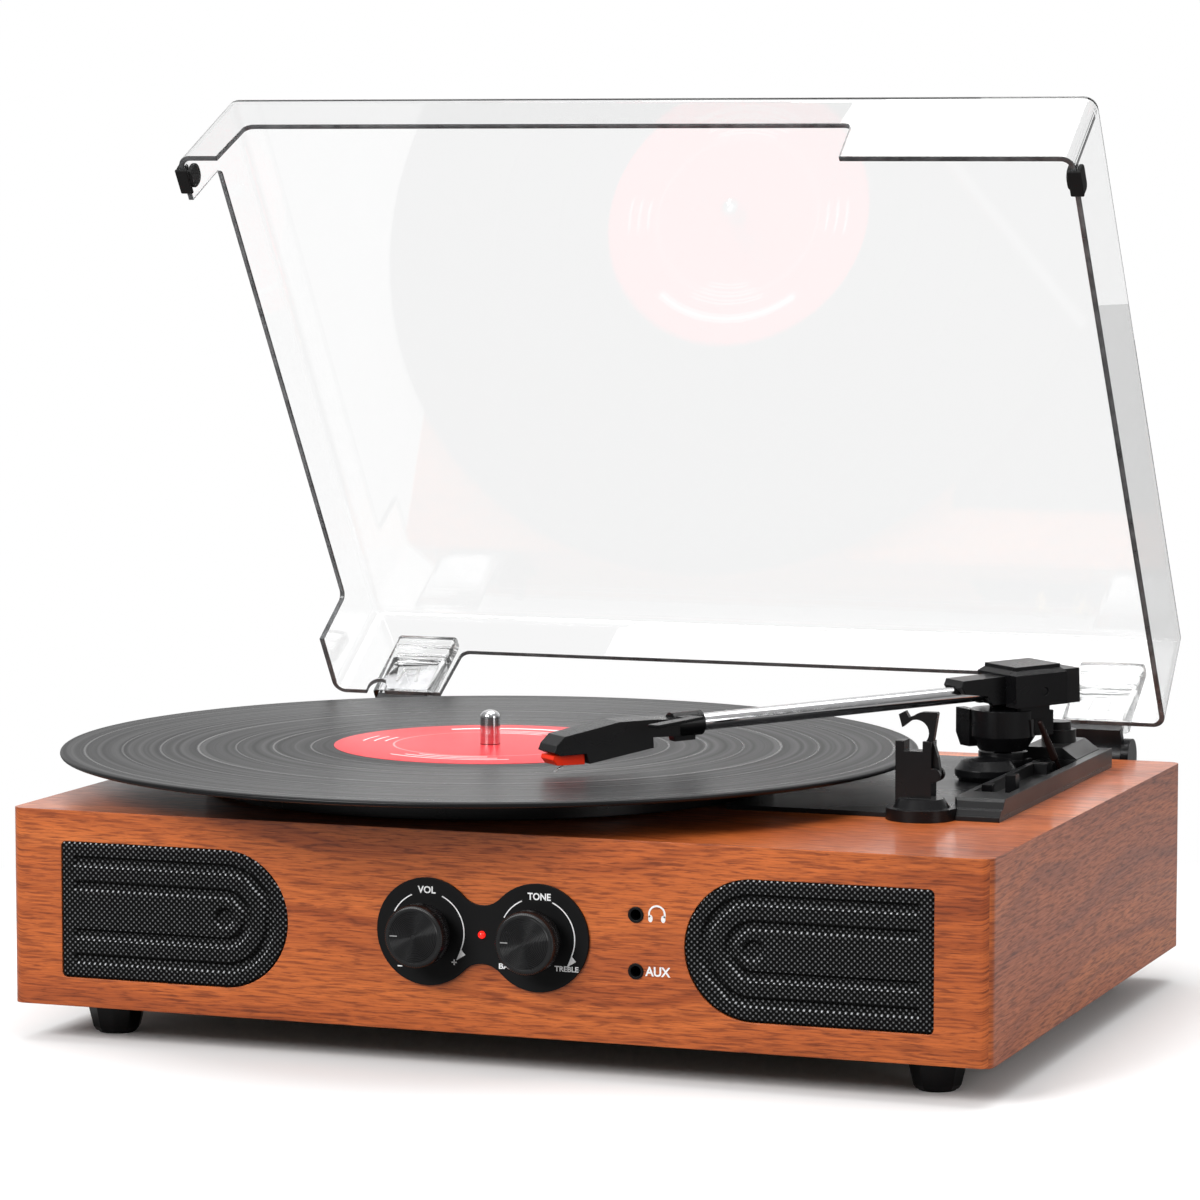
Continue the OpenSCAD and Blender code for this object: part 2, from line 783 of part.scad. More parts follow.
// Turning part of the arm base: shaft, curved shield and the yoke that holds the tilt pin
module arm_swivel() {
    shield_z = plate_z + 9.6;
    shield_h = 14.4;
    yoke_z = shield_z + shield_h - 3;
    cheek_x = tilt_s - 3.4;
    at_origin() color(black) arm_frame() difference() {
        union() {
            translate([0, 0, ceiling_z - 4]) cylinder(h = shield_z + 6 - ceiling_z, r = arm_shaft_r);
            translate([0, 0, shield_z]) rotate_extrude() polygon([[0, 0], [8.4, 0],
                [swivel_r, 5], [swivel_r, shield_h], [0, shield_h]]);
            translate([8, 0, shield_z]) rotate([90, 0, 90]) linear_extrude(3.4)
                polygon([[-13, shield_h], [-13, 5.6], [-10, 1.2], [-4, 1.2], [-4, shield_h]]);
            translate([-17, -6.5, shield_z + 5]) cube([12, 13, shield_h - 5.6]);
            for (side = [-1, 1]) translate([cheek_x, side * 9 - 1.25, yoke_z])
                cube([12, 2.5, tilt_z - yoke_z + 3.2]);
        }
        translate([tilt_s, 0, tilt_z]) rotate([90, 0, 0])
            cylinder(h = 40, r = tilt_pin_r, center = true);
    }
}

module tilt_pin() {
    at_origin() color(steel) arm_frame() translate([tilt_s, 0, tilt_z]) rotate([90, 0, 0])
        cylinder(h = housing_w - 0.8, r = tilt_pin_r, center = true);
}

// Box over the yoke with a chamfered top cap; open below
module arm_housing() {
    l = housing_span[1] - housing_span[0];
    mid = (housing_span[0] + housing_span[1]) / 2;
    at_origin() color(black) tilt_frame() difference() {
        union() {
            translate([housing_span[0], -housing_w / 2, -5.2]) cube([l, housing_w, 11.4]);
            translate([mid, 0, 6.2]) hull() {
                translate([-l / 2, -housing_w / 2, -eps]) cube([l, housing_w, eps]);
                translate([-l / 2 + 1.5, -10.6, 1.4]) cube([l - 3, 21.2, eps]);
            }
            translate([mid - l / 2 + 1.5, -10.2, 7.6]) cube([l - 3, 20.4, 1.4]);
        }
        translate([housing_span[0] + housing_wall, -housing_w / 2 + housing_wall, -6])
            cube([l - 2 * housing_wall, housing_w - 2 * housing_wall, 10.4]);
        translate([housing_span[1] - 4, -channel_w / 2, -6]) cube([8, channel_w, 9.6]);
        rotate([90, 0, 0]) cylinder(h = 40, r = tilt_pin_r + run_fit, center = true);
    }
}

module arm_counterweight() {
    at_origin() color(dark) tilt_frame() translate([housing_span[0] - 8, -8, -5.8])
        cube([8, 16, 12.2]);
}

// Channel that clamps the tube to the housing
module arm_channel() {
    at_origin() color(black) tilt_frame() difference() {
        side_profile([[8, -4.2], [17.4, -4.2], [19.6, -0.8], [28.6, 0.6], [30.4, 3.2], [29.4, 5.4],
            [12, 5.6], [12, 3.6], [8, 3.6]], channel_w);
        translate([16, -tube_r, -10]) cube([40, 2 * tube_r, 10]);
        rotate([0, 90, 0]) translate([0, 0, tube_span[0]]) cylinder(h = 60, r = tube_r);
    }
}

module arm_tube() {
    at_origin() color(steel) tilt_frame() rotate([0, 90, 0]) translate([0, 0, tube_span[0]])
        tube(tube_r, tube_r - 0.6, tube_span[1] - tube_span[0]);
}

// Collar, neck and wedge-shaped shell that holds the pickup
module headshell() {
    at_origin() color(black) tilt_frame() difference() {
        union() {
            translate([132, 0, 0]) rotate([0, 90, 0]) cylinder(h = 11.5, r = 4.3);
            side_profile([[135, -5.5], [143, -5.5], [143.6, -2.6], [135, -2.6]], 4);
            side_profile([[143, -3.2], [153.4, -2.6], [153.4, -6.2], [178, -9.3], [179, -5.8],
                [188.8, -5.6], [191.2, -4.4], [190.2, -2.2], [187, 0.7], [166, 3.8], [153, 3.4],
                [143, 2.6]], 12);
        }
        translate([131, 0, 0]) rotate([0, 90, 0]) cylinder(h = tube_span[1] - 131, r = tube_r);
    }
}

// Bent strip on the far side of the collar, to lift the arm by
module finger_lift() {
    at_origin() color(steel) tilt_frame() {
        translate([138, 3.6, 2.4]) cube([5, 3.2, 1]);
        translate([138, 6.2, 2.4]) rotate([0, 0, 22]) cube([24, 4.6, 1]);
    }
}

module stylus_holder() {
    at_origin() color(red) tilt_frame()
        side_profile([[179.1, -9.5], [189.4, -9], [191, -7], [190.6, -5.7], [179.1, -5.9]], 9);
}

module stylus() {
    at_origin() color(steel) tilt_frame() {
        side_profile([[182.6, -9.36], [183.8, -9.3], [188.4, -11.2], [188.6, -11.7], [187.9, -11.5]],
            0.9);
    }
}

// Sleeved wires that leave the swivel's side and run down into the cover's recess
module arm_wires() {
    points = [[139, 54.4, 101.3], [142.3, 61.5, 88.4], [143.4, 65.6, 84]];
    sizes = [0.9, 1.5, 0.6, 0.6];
    at_origin() color(red) for (i = [0, 1]) hull() for (k = [0, 1])
        translate(points[i + k]) sphere(r = sizes[2 * i + k], $fn = 16);
}

// ---- Dust cover and hinges ----

module hinge_brackets() {
    at_origin() color(black) both_sides() translate([hinge_x - bracket_w / 2, 0, 0]) difference() {
        union() {
            translate([0, rear_y, 52]) cube([bracket_w, 3, 27.6]);
            for (x = [0, bracket_w - ear_t]) {
                translate([x, hinge_y, hinge_z]) rotate([0, 90, 0]) cylinder(h = ear_t, r = ear_r);
                translate([x, rear_y + 1, 60]) cube([ear_t, hinge_y - rear_y + 3, 17]);
            }
        }
        translate([-1, hinge_y, hinge_z]) rotate([0, 90, 0])
            cylinder(h = bracket_w + 2, r = hinge_pin_r);
        for (x = [7, bracket_w - 7]) translate([x, rear_y - 1, 58]) rotate([-90, 0, 0])
            cylinder(h = 6, r = 1.8);
    }
}

module hinge_pins() {
    at_origin() color(steel) both_sides() {
        translate([hinge_x - bracket_w / 2, hinge_y, hinge_z]) rotate([0, 90, 0])
            cylinder(h = bracket_w, r = hinge_pin_r);
        for (x = [7, bracket_w - 7]) translate([hinge_x - bracket_w / 2 + x, rear_y, 58])
            rotate([-90, 0, 0]) {
                cylinder(h = 3, r = 1.8);
                translate([0, 0, 3]) cylinder(h = 1.4, r = 3.2);
            }
    }
}

// Turning leaf: barrel, web over the plinth's back edge, and a tongue in the cover's socket
module hinge_leaves() {
    web_z = hinge_z + 1.2;
    at_origin() color(dark) lid_frame() both_sides()
        translate([hinge_x - leaf_w / 2, 0, 0]) difference() {
            union() {
                translate([0, hinge_y, hinge_z]) rotate([0, 90, 0]) cylinder(h = leaf_w, r = 4.6);
                translate([0, tongue_y - tongue_t / 2, web_z])
                    cube([leaf_w, hinge_y - tongue_y + tongue_t / 2, 2.8]);
                translate([0, tongue_y - tongue_t / 2, web_z])
                    cube([leaf_w, tongue_t, tongue_top_z - web_z]);
            }
            translate([-1, hinge_y, hinge_z]) rotate([0, 90, 0])
                cylinder(h = leaf_w + 2, r = hinge_pin_r + run_fit);
        }
}

// Solid with the cover's outline, drawn in towards its top and rounded along the top edges
module lid_block(inset, h) {
    w = lid_w - 2 * inset;
    d = lid_d - 2 * inset;
    r = lid_round - inset;
    q = lid_bevel - inset;
    rise = h / lid_h;
    translate([0, lid_front_y + lid_d / 2, lid_rest_z]) hull() {
        translate([0, 0, -eps]) linear_extrude(eps) polygon(round_box(w, d, r));
        for (a = [0:22.5:90]) {
            in = q * (1 - cos(a));
            translate([0, lid_lean * rise, h - q + (q - eps) * sin(a)]) linear_extrude(eps)
                polygon(round_box(w - 2 * (lid_draft_x * rise + in),
                    d - 2 * (lid_draft_y * rise + in), max(r - in, 0.8)));
        }
    }
}

// Upright cut-out in one wall, a little narrower at its top
module wall_cutout(from, to) {
    rotate([90, 0, 0]) linear_extrude(30, center = true)
        polygon([[from, -1], [from + cutout_lean, cutout_h], [to - cutout_lean, cutout_h], [to, -1]]);
}

module lid() {
    at_origin() color(clear) lid_frame() {
        difference() {
            lid_block(0, lid_h);
            translate([0, 0, -eps]) lid_block(lid_t, lid_h - lid_t);
            translate([0, lid_front_y, lid_rest_z]) wall_cutout(-149.7, 83);
            translate([0, lid_rear_y, lid_rest_z]) wall_cutout(-121, 121);
            translate([-lid_w / 2, 0, lid_rest_z]) rotate([0, 0, 90])
                wall_cutout(lid_front_y + 19, lid_rear_y - 27);
            translate([0, lid_rear_y, lid_rest_z]) rotate([90, 0, 0])
                linear_extrude(10, center = true) polygon(concat([[-144.5, -1]],
                    arc([-148.2, 2.7], 3.7, 0, 180), [[-151.9, -1]]));
        }
        both_sides() lid_socket();
    }
}

// Sleeve on the back wall that the hinge tongue plugs into
module lid_socket() {
    w = leaf_w + 4.7;
    difference() {
        translate([hinge_x - w / 2, lid_rear_y - 4, socket_z]) cube([w, socket_d + 4, 33]);
        lid_block(0, lid_h);
        translate([hinge_x - leaf_w / 2, tongue_y - tongue_t / 2, socket_z - 1])
            cube([leaf_w, tongue_t, tongue_top_z - socket_z + 1]);
    }
}

// Soft clips on the edges of the side walls that land on the plinth
module lid_bumpers() {
    x = lid_w / 2 + run_fit;
    gap = lid_t + 2 * run_fit;
    lean = lid_draft_x / (lid_h - lid_bevel);
    in_lean = lean * (lid_h - lid_t) / lid_h;
    at_origin() color(black) lid_frame() both_sides() translate([0, bumper_y, lid_rest_z])
        rotate([90, 0, 0]) linear_extrude(bumper_l, center = true)
            polygon([[x + 1.6, -1.45], [x + 1.6, 4.6], [x - 5.2 * lean, 5.2], [x, 0],
                [x - gap, 0], [x - gap - 6.4 * in_lean, 6.4], [x - gap - 1.6, 6.4],
                [x - gap - 2.6, 3], [x - gap - 1.9, -1.45]]);
}

cabinet();
bottom_panel();
base_screws();
foot_front_left();
foot_front_right();
foot_rear_left();
foot_rear_right();
foot_pads();
grille_left();
grille_right();
speaker_frames();
speaker_cones();
control_panel();
power_led();
volume_pot();
tone_pot();
volume_shaft();
tone_shaft();
volume_knob();
tone_knob();
headphone_jack();
aux_jack();
amplifier_board();
rear_jack_plate();
line_out_jacks();
power_inlet();
motor();
motor_pulley();
drive_belt();
bearing_bush();
spindle();
platter();
platter_mat();
record();
record_label();
deck_plate();
mechanism_cover();
wire_guide_block();
speed_selector();
auto_stop_switch();
arm_rest();
arm_clip();
arm_pedestal();
arm_swivel();
tilt_pin();
arm_housing();
arm_counterweight();
arm_channel();
arm_tube();
headshell();
finger_lift();
stylus_holder();
stylus();
arm_wires();
hinge_brackets();
hinge_pins();
hinge_leaves();
lid();
lid_bumpers();
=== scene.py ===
"""Looks of the record player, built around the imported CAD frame. Lengths are written in
millimetres from the floor under the middle of the plinth, and at() turns them into the frame."""
import json
import math

import bmesh
import bpy
from mathutils import Matrix, Vector


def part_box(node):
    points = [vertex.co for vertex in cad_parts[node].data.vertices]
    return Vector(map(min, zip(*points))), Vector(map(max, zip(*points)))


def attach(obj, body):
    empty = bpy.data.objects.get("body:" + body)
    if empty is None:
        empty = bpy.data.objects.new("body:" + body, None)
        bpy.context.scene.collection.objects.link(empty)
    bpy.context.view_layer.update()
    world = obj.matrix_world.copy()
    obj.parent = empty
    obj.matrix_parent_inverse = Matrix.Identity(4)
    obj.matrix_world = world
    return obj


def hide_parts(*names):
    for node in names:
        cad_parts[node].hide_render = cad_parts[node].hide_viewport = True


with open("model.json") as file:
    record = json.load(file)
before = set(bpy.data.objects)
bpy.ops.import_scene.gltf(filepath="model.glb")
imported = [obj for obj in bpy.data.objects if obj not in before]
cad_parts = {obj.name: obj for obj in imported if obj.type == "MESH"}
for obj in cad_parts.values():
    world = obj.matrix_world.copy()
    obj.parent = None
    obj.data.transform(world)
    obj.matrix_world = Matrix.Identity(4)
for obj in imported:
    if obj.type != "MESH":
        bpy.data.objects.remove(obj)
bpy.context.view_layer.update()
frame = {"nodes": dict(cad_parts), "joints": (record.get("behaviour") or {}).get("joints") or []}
NODES = frame["nodes"]
JOINTS = {joint["name"]: joint for joint in frame["joints"]}
MM = 0.001
UP = Vector((0, 0, 1))


def box_mm(node):
    return [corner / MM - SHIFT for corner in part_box(node)]


cabinet_low, cabinet_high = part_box("cabinet")
SHIFT = Vector((cabinet_low.x + cabinet_high.x, cabinet_low.y + cabinet_high.y, 0)) / 2 / MM
FRONT_Y = cabinet_low.y / MM - SHIFT.y


def at(x, y, z):
    return (Vector((x, y, z)) + SHIFT) * MM


def centre(node):
    low, high = box_mm(node)
    return (low + high) / 2


# ---------------------------------------------------------------- camera and light

CAMERA_AT = (568.1, -1549.55, 301.65)
CAMERA_YAW = math.radians(-20.335)
CAMERA_PITCH = math.radians(5.42)


def make_camera():
    data = bpy.data.cameras.new("camera")
    data.lens = 141.76
    data.sensor_width = 36
    data.clip_end = 50
    camera = bpy.data.objects.new("camera", data)
    bpy.context.scene.collection.objects.link(camera)
    camera.location = at(*CAMERA_AT)
    camera.rotation_euler = (math.pi / 2 - CAMERA_PITCH, 0, -CAMERA_YAW)
    bpy.context.scene.camera = camera


def area_light(name, place, target, size, power, colour=(1, 1, 1)):
    data = bpy.data.lights.new(name, "AREA")
    data.shape = "RECTANGLE"
    data.size, data.size_y = size
    data.energy = power
    data.color = colour
    lamp = bpy.data.objects.new(name, data)
    lamp.location = place
    lamp.rotation_euler = (Vector(target) - Vector(place)).to_track_quat("-Z", "Y").to_euler()
    bpy.context.scene.collection.objects.link(lamp)


def make_world():
    """A dim studio with a white backdrop behind the player, and plain white to the camera."""
    world = bpy.data.worlds.new("studio")
    bpy.context.scene.world = world
    world.use_nodes = True
    tree = world.node_tree
    tree.nodes.clear()
    add, link = tree.nodes.new, tree.links.new
    direction = add("ShaderNodeTexCoord").outputs["Generated"]

    def lobe(towards, low, high, dim, bright):
        cosine = add("ShaderNodeVectorMath")
        cosine.operation = "DOT_PRODUCT"
        link(direction, cosine.inputs[0])
        cosine.inputs[1].default_value = towards
        fade = add("ShaderNodeMapRange")
        link(cosine.outputs["Value"], fade.inputs[0])
        for socket, value in zip(fade.inputs[1:5], (low, high, dim, bright)):
            socket.default_value = value
        return fade.outputs[0]

    def combined(operation, first, second):
        node = add("ShaderNodeMath")
        node.operation = operation
        link(first, node.inputs[0])
        link(second, node.inputs[1])
        return node.outputs[0]

    sky = lobe((0, 0, 1), 0.0, 0.9, 0.16, 0.62)
    behind = lobe((-0.35, 0.93, 0.1), 0.45, 0.85, 0.0, 0.85)
    studio = combined("MAXIMUM", sky, behind)
    through = lobe((-0.35, 0.93, 0.1), 0.2, 0.75, 0.35, 1.0)
    path = add("ShaderNodeLightPath")
    white = add("ShaderNodeValue")
    white.outputs[0].default_value = 1.0
    seen = add("ShaderNodeMix")
    link(path.outputs["Is Transmission Ray"], seen.inputs[0])
    link(studio, seen.inputs[2])
    link(through, seen.inputs[3])
    level = add("ShaderNodeMix")
    link(path.outputs["Is Camera Ray"], level.inputs[0])
    link(seen.outputs[0], level.inputs[2])
    link(white.outputs[0], level.inputs[3])
    background = add("ShaderNodeBackground")
    link(level.outputs[0], background.inputs["Color"])
    link(background.outputs[0], add("ShaderNodeOutputWorld").inputs[0])


def make_lights():
    area_light("key", (-0.7, -1.7, 1.2), (0, 0, 0.05), (1.0, 0.9), 40)
    area_light("fill", (1.7, -0.7, 0.7), (0, 0, 0.05), (0.6, 0.9), 7)
    area_light("top", (0.1, 0.2, 1.6), (0, 0, 0), (1.4, 1.4), 18)


# ---------------------------------------------------------------- materials


class Look:
    """A procedural material: a Principled shader and the nodes that drive it."""

    def __init__(self, name, colour, roughness, **sockets):
        self.material = bpy.data.materials.new(name)
        self.material.use_nodes = True
        self.tree = self.material.node_tree
        self.shader = self.tree.nodes["Principled BSDF"]
        values = {key.replace("_", " "): value for key, value in sockets.items()}
        self.put(self.shader, {"Base Color": (*colour, 1), "Roughness": roughness, **values})

    def put(self, node, values):
        for key, value in values.items():
            if isinstance(value, bpy.types.NodeSocket):
                self.tree.links.new(value, node.inputs[key])
            else:
                node.inputs[key].default_value = value

    def node(self, kind, values=None, **properties):
        node = self.tree.nodes.new("ShaderNode" + kind)
        for key, value in properties.items():
            setattr(node, key, value)
        self.put(node, values or {})
        return node

    def place(self, scale=(1, 1, 1)):
        """Object coordinates in metres, stretched by scale."""
        source = self.node("TexCoord").outputs["Object"]
        return self.node("Mapping", {"Vector": source, "Scale": scale}).outputs[0]

    def math(self, operation, first, second=0.0):
        return self.node("Math", {0: first, 1: second}, operation=operation).outputs[0]

    def noise(self, vector, scale, detail=2.0, distortion=0.0):
        values = {"Vector": vector, "Scale": scale, "Detail": detail, "Distortion": distortion}
        return self.node("TexNoise", values).outputs["Fac"]

    def spread(self, value, low, high, new_low, new_high):
        values = {0: value, 1: low, 2: high, 3: new_low, 4: new_high}
        return self.node("MapRange", values).outputs[0]

    def ramp(self, value, stops):
        node = self.node("ValToRGB", {0: value})
        elements = node.color_ramp.elements
        while len(elements) < len(stops):
            elements.new(0.5)
        for element, (position, colour) in zip(elements, stops):
            element.position = position
            element.color = (*colour, 1) if len(colour) == 3 else colour
        return node.outputs[0]

    def mix(self, amount, first, second, blend="MIX"):
        node = self.node("Mix", data_type="RGBA", blend_type=blend)
        self.put(node, {0: amount, 6: first, 7: second})
        return node.outputs[2]

    def bump(self, height, strength, depth_mm, rounding_mm=0.0):
        values = {"Strength": strength, "Distance": depth_mm * MM, "Height": height}
        if rounding_mm:
            bevel = self.node("Bevel", {"Radius": rounding_mm * MM}, samples=4)
            values["Normal"] = bevel.outputs[0]
        self.put(self.shader, {"Normal": self.node("Bump", values).outputs[0]})

    def radius(self, centre_point):
        """Distance in millimetres from an upright axis."""
        source = self.node("TexCoord").outputs["Object"]
        offset = self.node("VectorMath", {0: source, 1: centre_point}, operation="SUBTRACT")
        flat = self.node("VectorMath", {0: offset.outputs[0], 1: (1000, 1000, 0)},
                         operation="MULTIPLY")
        return self.node("VectorMath", {0: flat.outputs[0]}, operation="LENGTH").outputs["Value"]


def shade(colour, factor):
    return tuple(min(channel * factor, 1) for channel in colour)


def plastic(name, colour, roughness, grain=1500, depth=0.03, rounding=0.35, **sockets):
    """Moulded plastic: fine grain, faint clouds in colour and gloss, softened edges."""
    look = Look(name, colour, roughness, **{"Specular_IOR_Level": 0.22, **sockets})
    fine = look.noise(look.place(), grain, 3)
    clouds = look.noise(look.place(), 28, 3)
    look.put(look.shader, {
        "Base Color": look.ramp(clouds, [(0.3, shade(colour, 0.8)), (0.7, shade(colour, 1.25))]),
        "Roughness": look.spread(clouds, 0.3, 0.7, roughness - 0.04, roughness + 0.05)})
    look.bump(fine, 0.25, depth, rounding)
    return look.material


def metal(name, colour, roughness, stretch=(1, 1, 1), depth=0.01, rounding=0.2):
    look = Look(name, colour, roughness, Metallic=1.0)
    marks = look.noise(look.place(stretch), 260, 4)
    look.put(look.shader, {
        "Base Color": look.ramp(marks, [(0.3, shade(colour, 0.88)), (0.7, shade(colour, 1.06))]),
        "Roughness": look.spread(marks, 0.3, 0.7, roughness * 0.7, roughness * 1.4)})
    look.bump(marks, 0.2, depth, rounding)
    return look.material


def wood_veneer():
    """Straight-grained orange-brown veneer: the grain runs along the front, and round the sides."""
    look = Look("wood_veneer", (0.5, 0.2, 0.07), 0.36, Specular_IOR_Level=0.3,
                Coat_Weight=0.45, Coat_Roughness=0.16)
    coordinates = look.node("TexCoord")
    place = look.node("SeparateXYZ", {0: coordinates.outputs["Object"]})
    facing = look.node("SeparateXYZ", {0: coordinates.outputs["Normal"]})
    x, y, z = place.outputs
    side = look.math("GREATER_THAN", look.math("ABSOLUTE", facing.outputs[0]), 0.7)
    along = look.node("Mix", {0: side, 2: x, 3: look.math("ADD", y, 0.7)}).outputs[0]
    across = look.node("Mix", {0: side, 2: look.math("SUBTRACT", z, y), 3: z}).outputs[0]
    grain = look.node("CombineXYZ", {0: along, 1: across}).outputs[0]

    def stretched(scale_along, scale_across, detail, distortion=0.0):
        scaled = look.node("Mapping", {"Vector": grain, "Scale": (scale_along, scale_across, 1)})
        return look.noise(scaled.outputs[0], 1.0, detail, distortion)

    bent = look.node("Mapping", {"Vector": grain, "Scale": (1.3, 34, 1)}).outputs[0]
    drift = look.node("CombineXYZ", {1: stretched(3.1, 9, 2)}).outputs[0]
    sway = look.node("VectorMath", {0: drift, 1: (0, 3.4, 0)}, operation="MULTIPLY").outputs[0]
    swayed = look.node("VectorMath", {0: bent, 1: sway}).outputs[0]
    figure = look.noise(swayed, 1.5, 6, 0.3)
    bands = look.noise(swayed, 5.5, 3, 0.2)
    dashes = stretched(105, 1150, 4, 0.5)
    fibres = stretched(34, 2300, 3)
    pores = stretched(190, 2900, 2)
    base = look.ramp(figure, [(0.28, (0.33, 0.070, 0.018)), (0.45, (0.46, 0.108, 0.024)),
                              (0.58, (0.56, 0.142, 0.031)), (0.78, (0.68, 0.200, 0.050))])
    broad = look.ramp(bands, [(0.34, (0.56, 0.46, 0.42)), (0.50, (1, 1, 1))])
    toned = look.mix(0.7, base, broad, "MULTIPLY")
    fine = look.ramp(dashes, [(0.36, (0.44, 0.34, 0.31)), (0.50, (0.98, 0.95, 0.94)),
                              (0.68, (1.18, 1.16, 1.12))])
    toned = look.mix(0.8, toned, fine, "MULTIPLY")
    threads = look.ramp(fibres, [(0.36, (0.78, 0.74, 0.70)), (0.60, (1.08, 1.06, 1.04))])
    toned = look.mix(0.7, toned, threads, "MULTIPLY")
    pitted = look.ramp(pores, [(0.32, (0.36, 0.28, 0.25)), (0.39, (1, 1, 1))])
    look.put(look.shader, {
        "Base Color": look.mix(0.6, toned, pitted, "MULTIPLY"),
        "Roughness": look.spread(dashes, 0.3, 0.7, 0.44, 0.32)})
    look.bump(look.math("ADD", dashes, look.math("MULTIPLY", pores, 0.8)), 0.2, 0.05, 0.6)
    return look.material


def fibreboard():
    look = Look("fibreboard", (0.16, 0.11, 0.07), 0.85)
    chips = look.noise(look.place(), 700, 5)
    colour = look.ramp(chips, [(0.3, (0.08, 0.052, 0.034)), (0.7, (0.24, 0.165, 0.105))])
    look.put(look.shader, {"Base Color": colour})
    look.bump(chips, 0.4, 0.15)
    return look.material


def perforated_grille():
    """Black grille: staggered holes 2 mm apart, rows 1 mm apart; painted highlights on web
    crossings and up-facing slopes, painted shade in holes and on down-facing slopes.
    """
    look = Look("perforated_grille", (0.03, 0.03, 0.03), 0.3, Specular_IOR_Level=0.12)
    coordinates = look.node("TexCoord")
    place = look.node("SeparateXYZ", {0: coordinates.outputs["Object"]})
    facing = look.node("SeparateXYZ", {0: coordinates.outputs["Normal"]})
    waves = [look.math("COSINE", look.math("MULTIPLY", place.outputs[axis], math.pi * 1000))
             for axis in (0, 2)]
    holes = look.math("MULTIPLY", waves[0], waves[1])
    fac = look.spread(holes, -1, 1, 0, 1)
    wear = look.noise(look.place(), 240, 2)
    # Painted light: the web's crossings are painted pale as painted highlights, and the holes
    # near-black as painted shade.
    web_painted_light = look.ramp(fac, [(0.0, (0.20, 0.205, 0.21)), (0.16, (0.07, 0.072, 0.075)),
                          (0.40, (0.012, 0.012, 0.0125)), (0.50, (0.0004, 0.0004, 0.0004))])
    shine = look.ramp(wear, [(0.3, (0.8, 0.8, 0.8)), (0.7, (1.2, 1.2, 1.2))])
    # Painted highlight on slopes that face up and painted shade on slopes that face down, taken
    # from the normal.
    slope = look.spread(facing.outputs[2], -0.5, 0.5, 0, 1)
    painted_slope_light = look.ramp(slope, [(0.2, (0.04, 0.04, 0.04)), (0.46, (0.28, 0.28, 0.28)),
                               (0.54, (0.28, 0.28, 0.28)), (0.8, (1, 1, 1))])
    web_painted_light = look.mix(1.0, web_painted_light, painted_slope_light, "MULTIPLY")
    # Scales the painted light up, so that front-facing web keeps about its own tone.
    web_painted_light = look.mix(1.0, web_painted_light, (3.2, 3.2, 3.2, 1), "MULTIPLY")
    look.put(look.shader, {
        "Base Color": look.mix(1.0, web_painted_light, shine, "MULTIPLY"),
        "Roughness": look.spread(fac, 0.0, 0.5, 0.24, 0.8)})
    look.bump(look.math("MULTIPLY", holes, -1.0), 0.8, 0.3)
    return look.material


def vinyl():
    """Record: fine grooves round the spindle, with smoother gaps between the tracks."""
    look = Look("vinyl", (0.008, 0.008, 0.009), 0.3, Anisotropic=0.6, Specular_IOR_Level=0.22)
    radius = look.radius(at(*SPINDLE))
    grooves = look.node("TexNoise", {"W": radius, "Scale": 5.5, "Detail": 4},
                        noise_dimensions="1D").outputs["Fac"]
    bands = look.node("TexNoise", {"W": radius, "Scale": 0.33, "Detail": 3},
                      noise_dimensions="1D").outputs["Fac"]
    track = look.math("PINGPONG", look.math("ADD", radius, 3.0), 6.6)
    gap = look.spread(track, 0.15, 0.55, 1.0, 0.0)
    black = look.ramp(bands, [(0.3, (0.003, 0.003, 0.0035)), (0.7, (0.010, 0.010, 0.011))])
    look.put(look.shader, {
        "Base Color": black,
        "Roughness": look.math("SUBTRACT", look.spread(bands, 0.3, 0.7, 0.28, 0.40),
                               look.math("MULTIPLY", gap, 0.14)),
        "Tangent": look.node("Tangent", direction_type="RADIAL", axis="Z").outputs[0]})
    height = look.math("SUBTRACT", grooves, look.math("MULTIPLY", gap, 0.9))
    look.bump(height, 0.35, 0.05)
    return look.material


def record_paper():
    look = Look("record_paper", (0.75, 0.05, 0.05), 0.3, Specular_IOR_Level=0.16)
    radius = look.radius(at(*SPINDLE))
    ring = look.math("PINGPONG", radius, 17.0)
    line = look.spread(ring, 0.25, 0.45, 1.0, 0.0)
    fibres = look.noise(look.place(), 900, 4)
    red = look.ramp(fibres, [(0.3, (0.66, 0.014, 0.024)), (0.7, (0.80, 0.026, 0.038))])
    look.put(look.shader, {"Base Color": look.mix(line, red, (0.85, 0.32, 0.32, 1))})
    look.bump(fibres, 0.15, 0.03)
    return look.material


def clear_acrylic():
    """Clear cover, with a faint absorption that darkens long paths at its edges."""
    look = Look("clear_acrylic", (1, 1, 1), 0.0, IOR=1.49, Transmission_Weight=1.0,
                Specular_IOR_Level=0.1)
    haze = look.noise(look.place(), 14, 4)
    look.put(look.shader, {"Roughness": look.spread(haze, 0.55, 0.8, 0.0, 0.02)})
    absorb = look.node("VolumeAbsorption", {"Color": (0.64, 0.66, 0.66, 1), "Density": 24})
    output = look.tree.nodes["Material Output"]
    look.put(output, {"Volume": absorb.outputs[0]})
    return look.material


def clear_edge():
    """Cut edge of the clear cover, where light is trapped and it looks dark grey."""
    look = Look("clear_edge", (0.12, 0.125, 0.13), 0.25, IOR=1.49, Transmission_Weight=0.35)
    marks = look.noise(look.place(), 160, 3)
    look.put(look.shader, {
        "Base Color": look.ramp(marks, [(0.3, (0.06, 0.062, 0.065)), (0.7, (0.16, 0.165, 0.17))])})
    return look.material


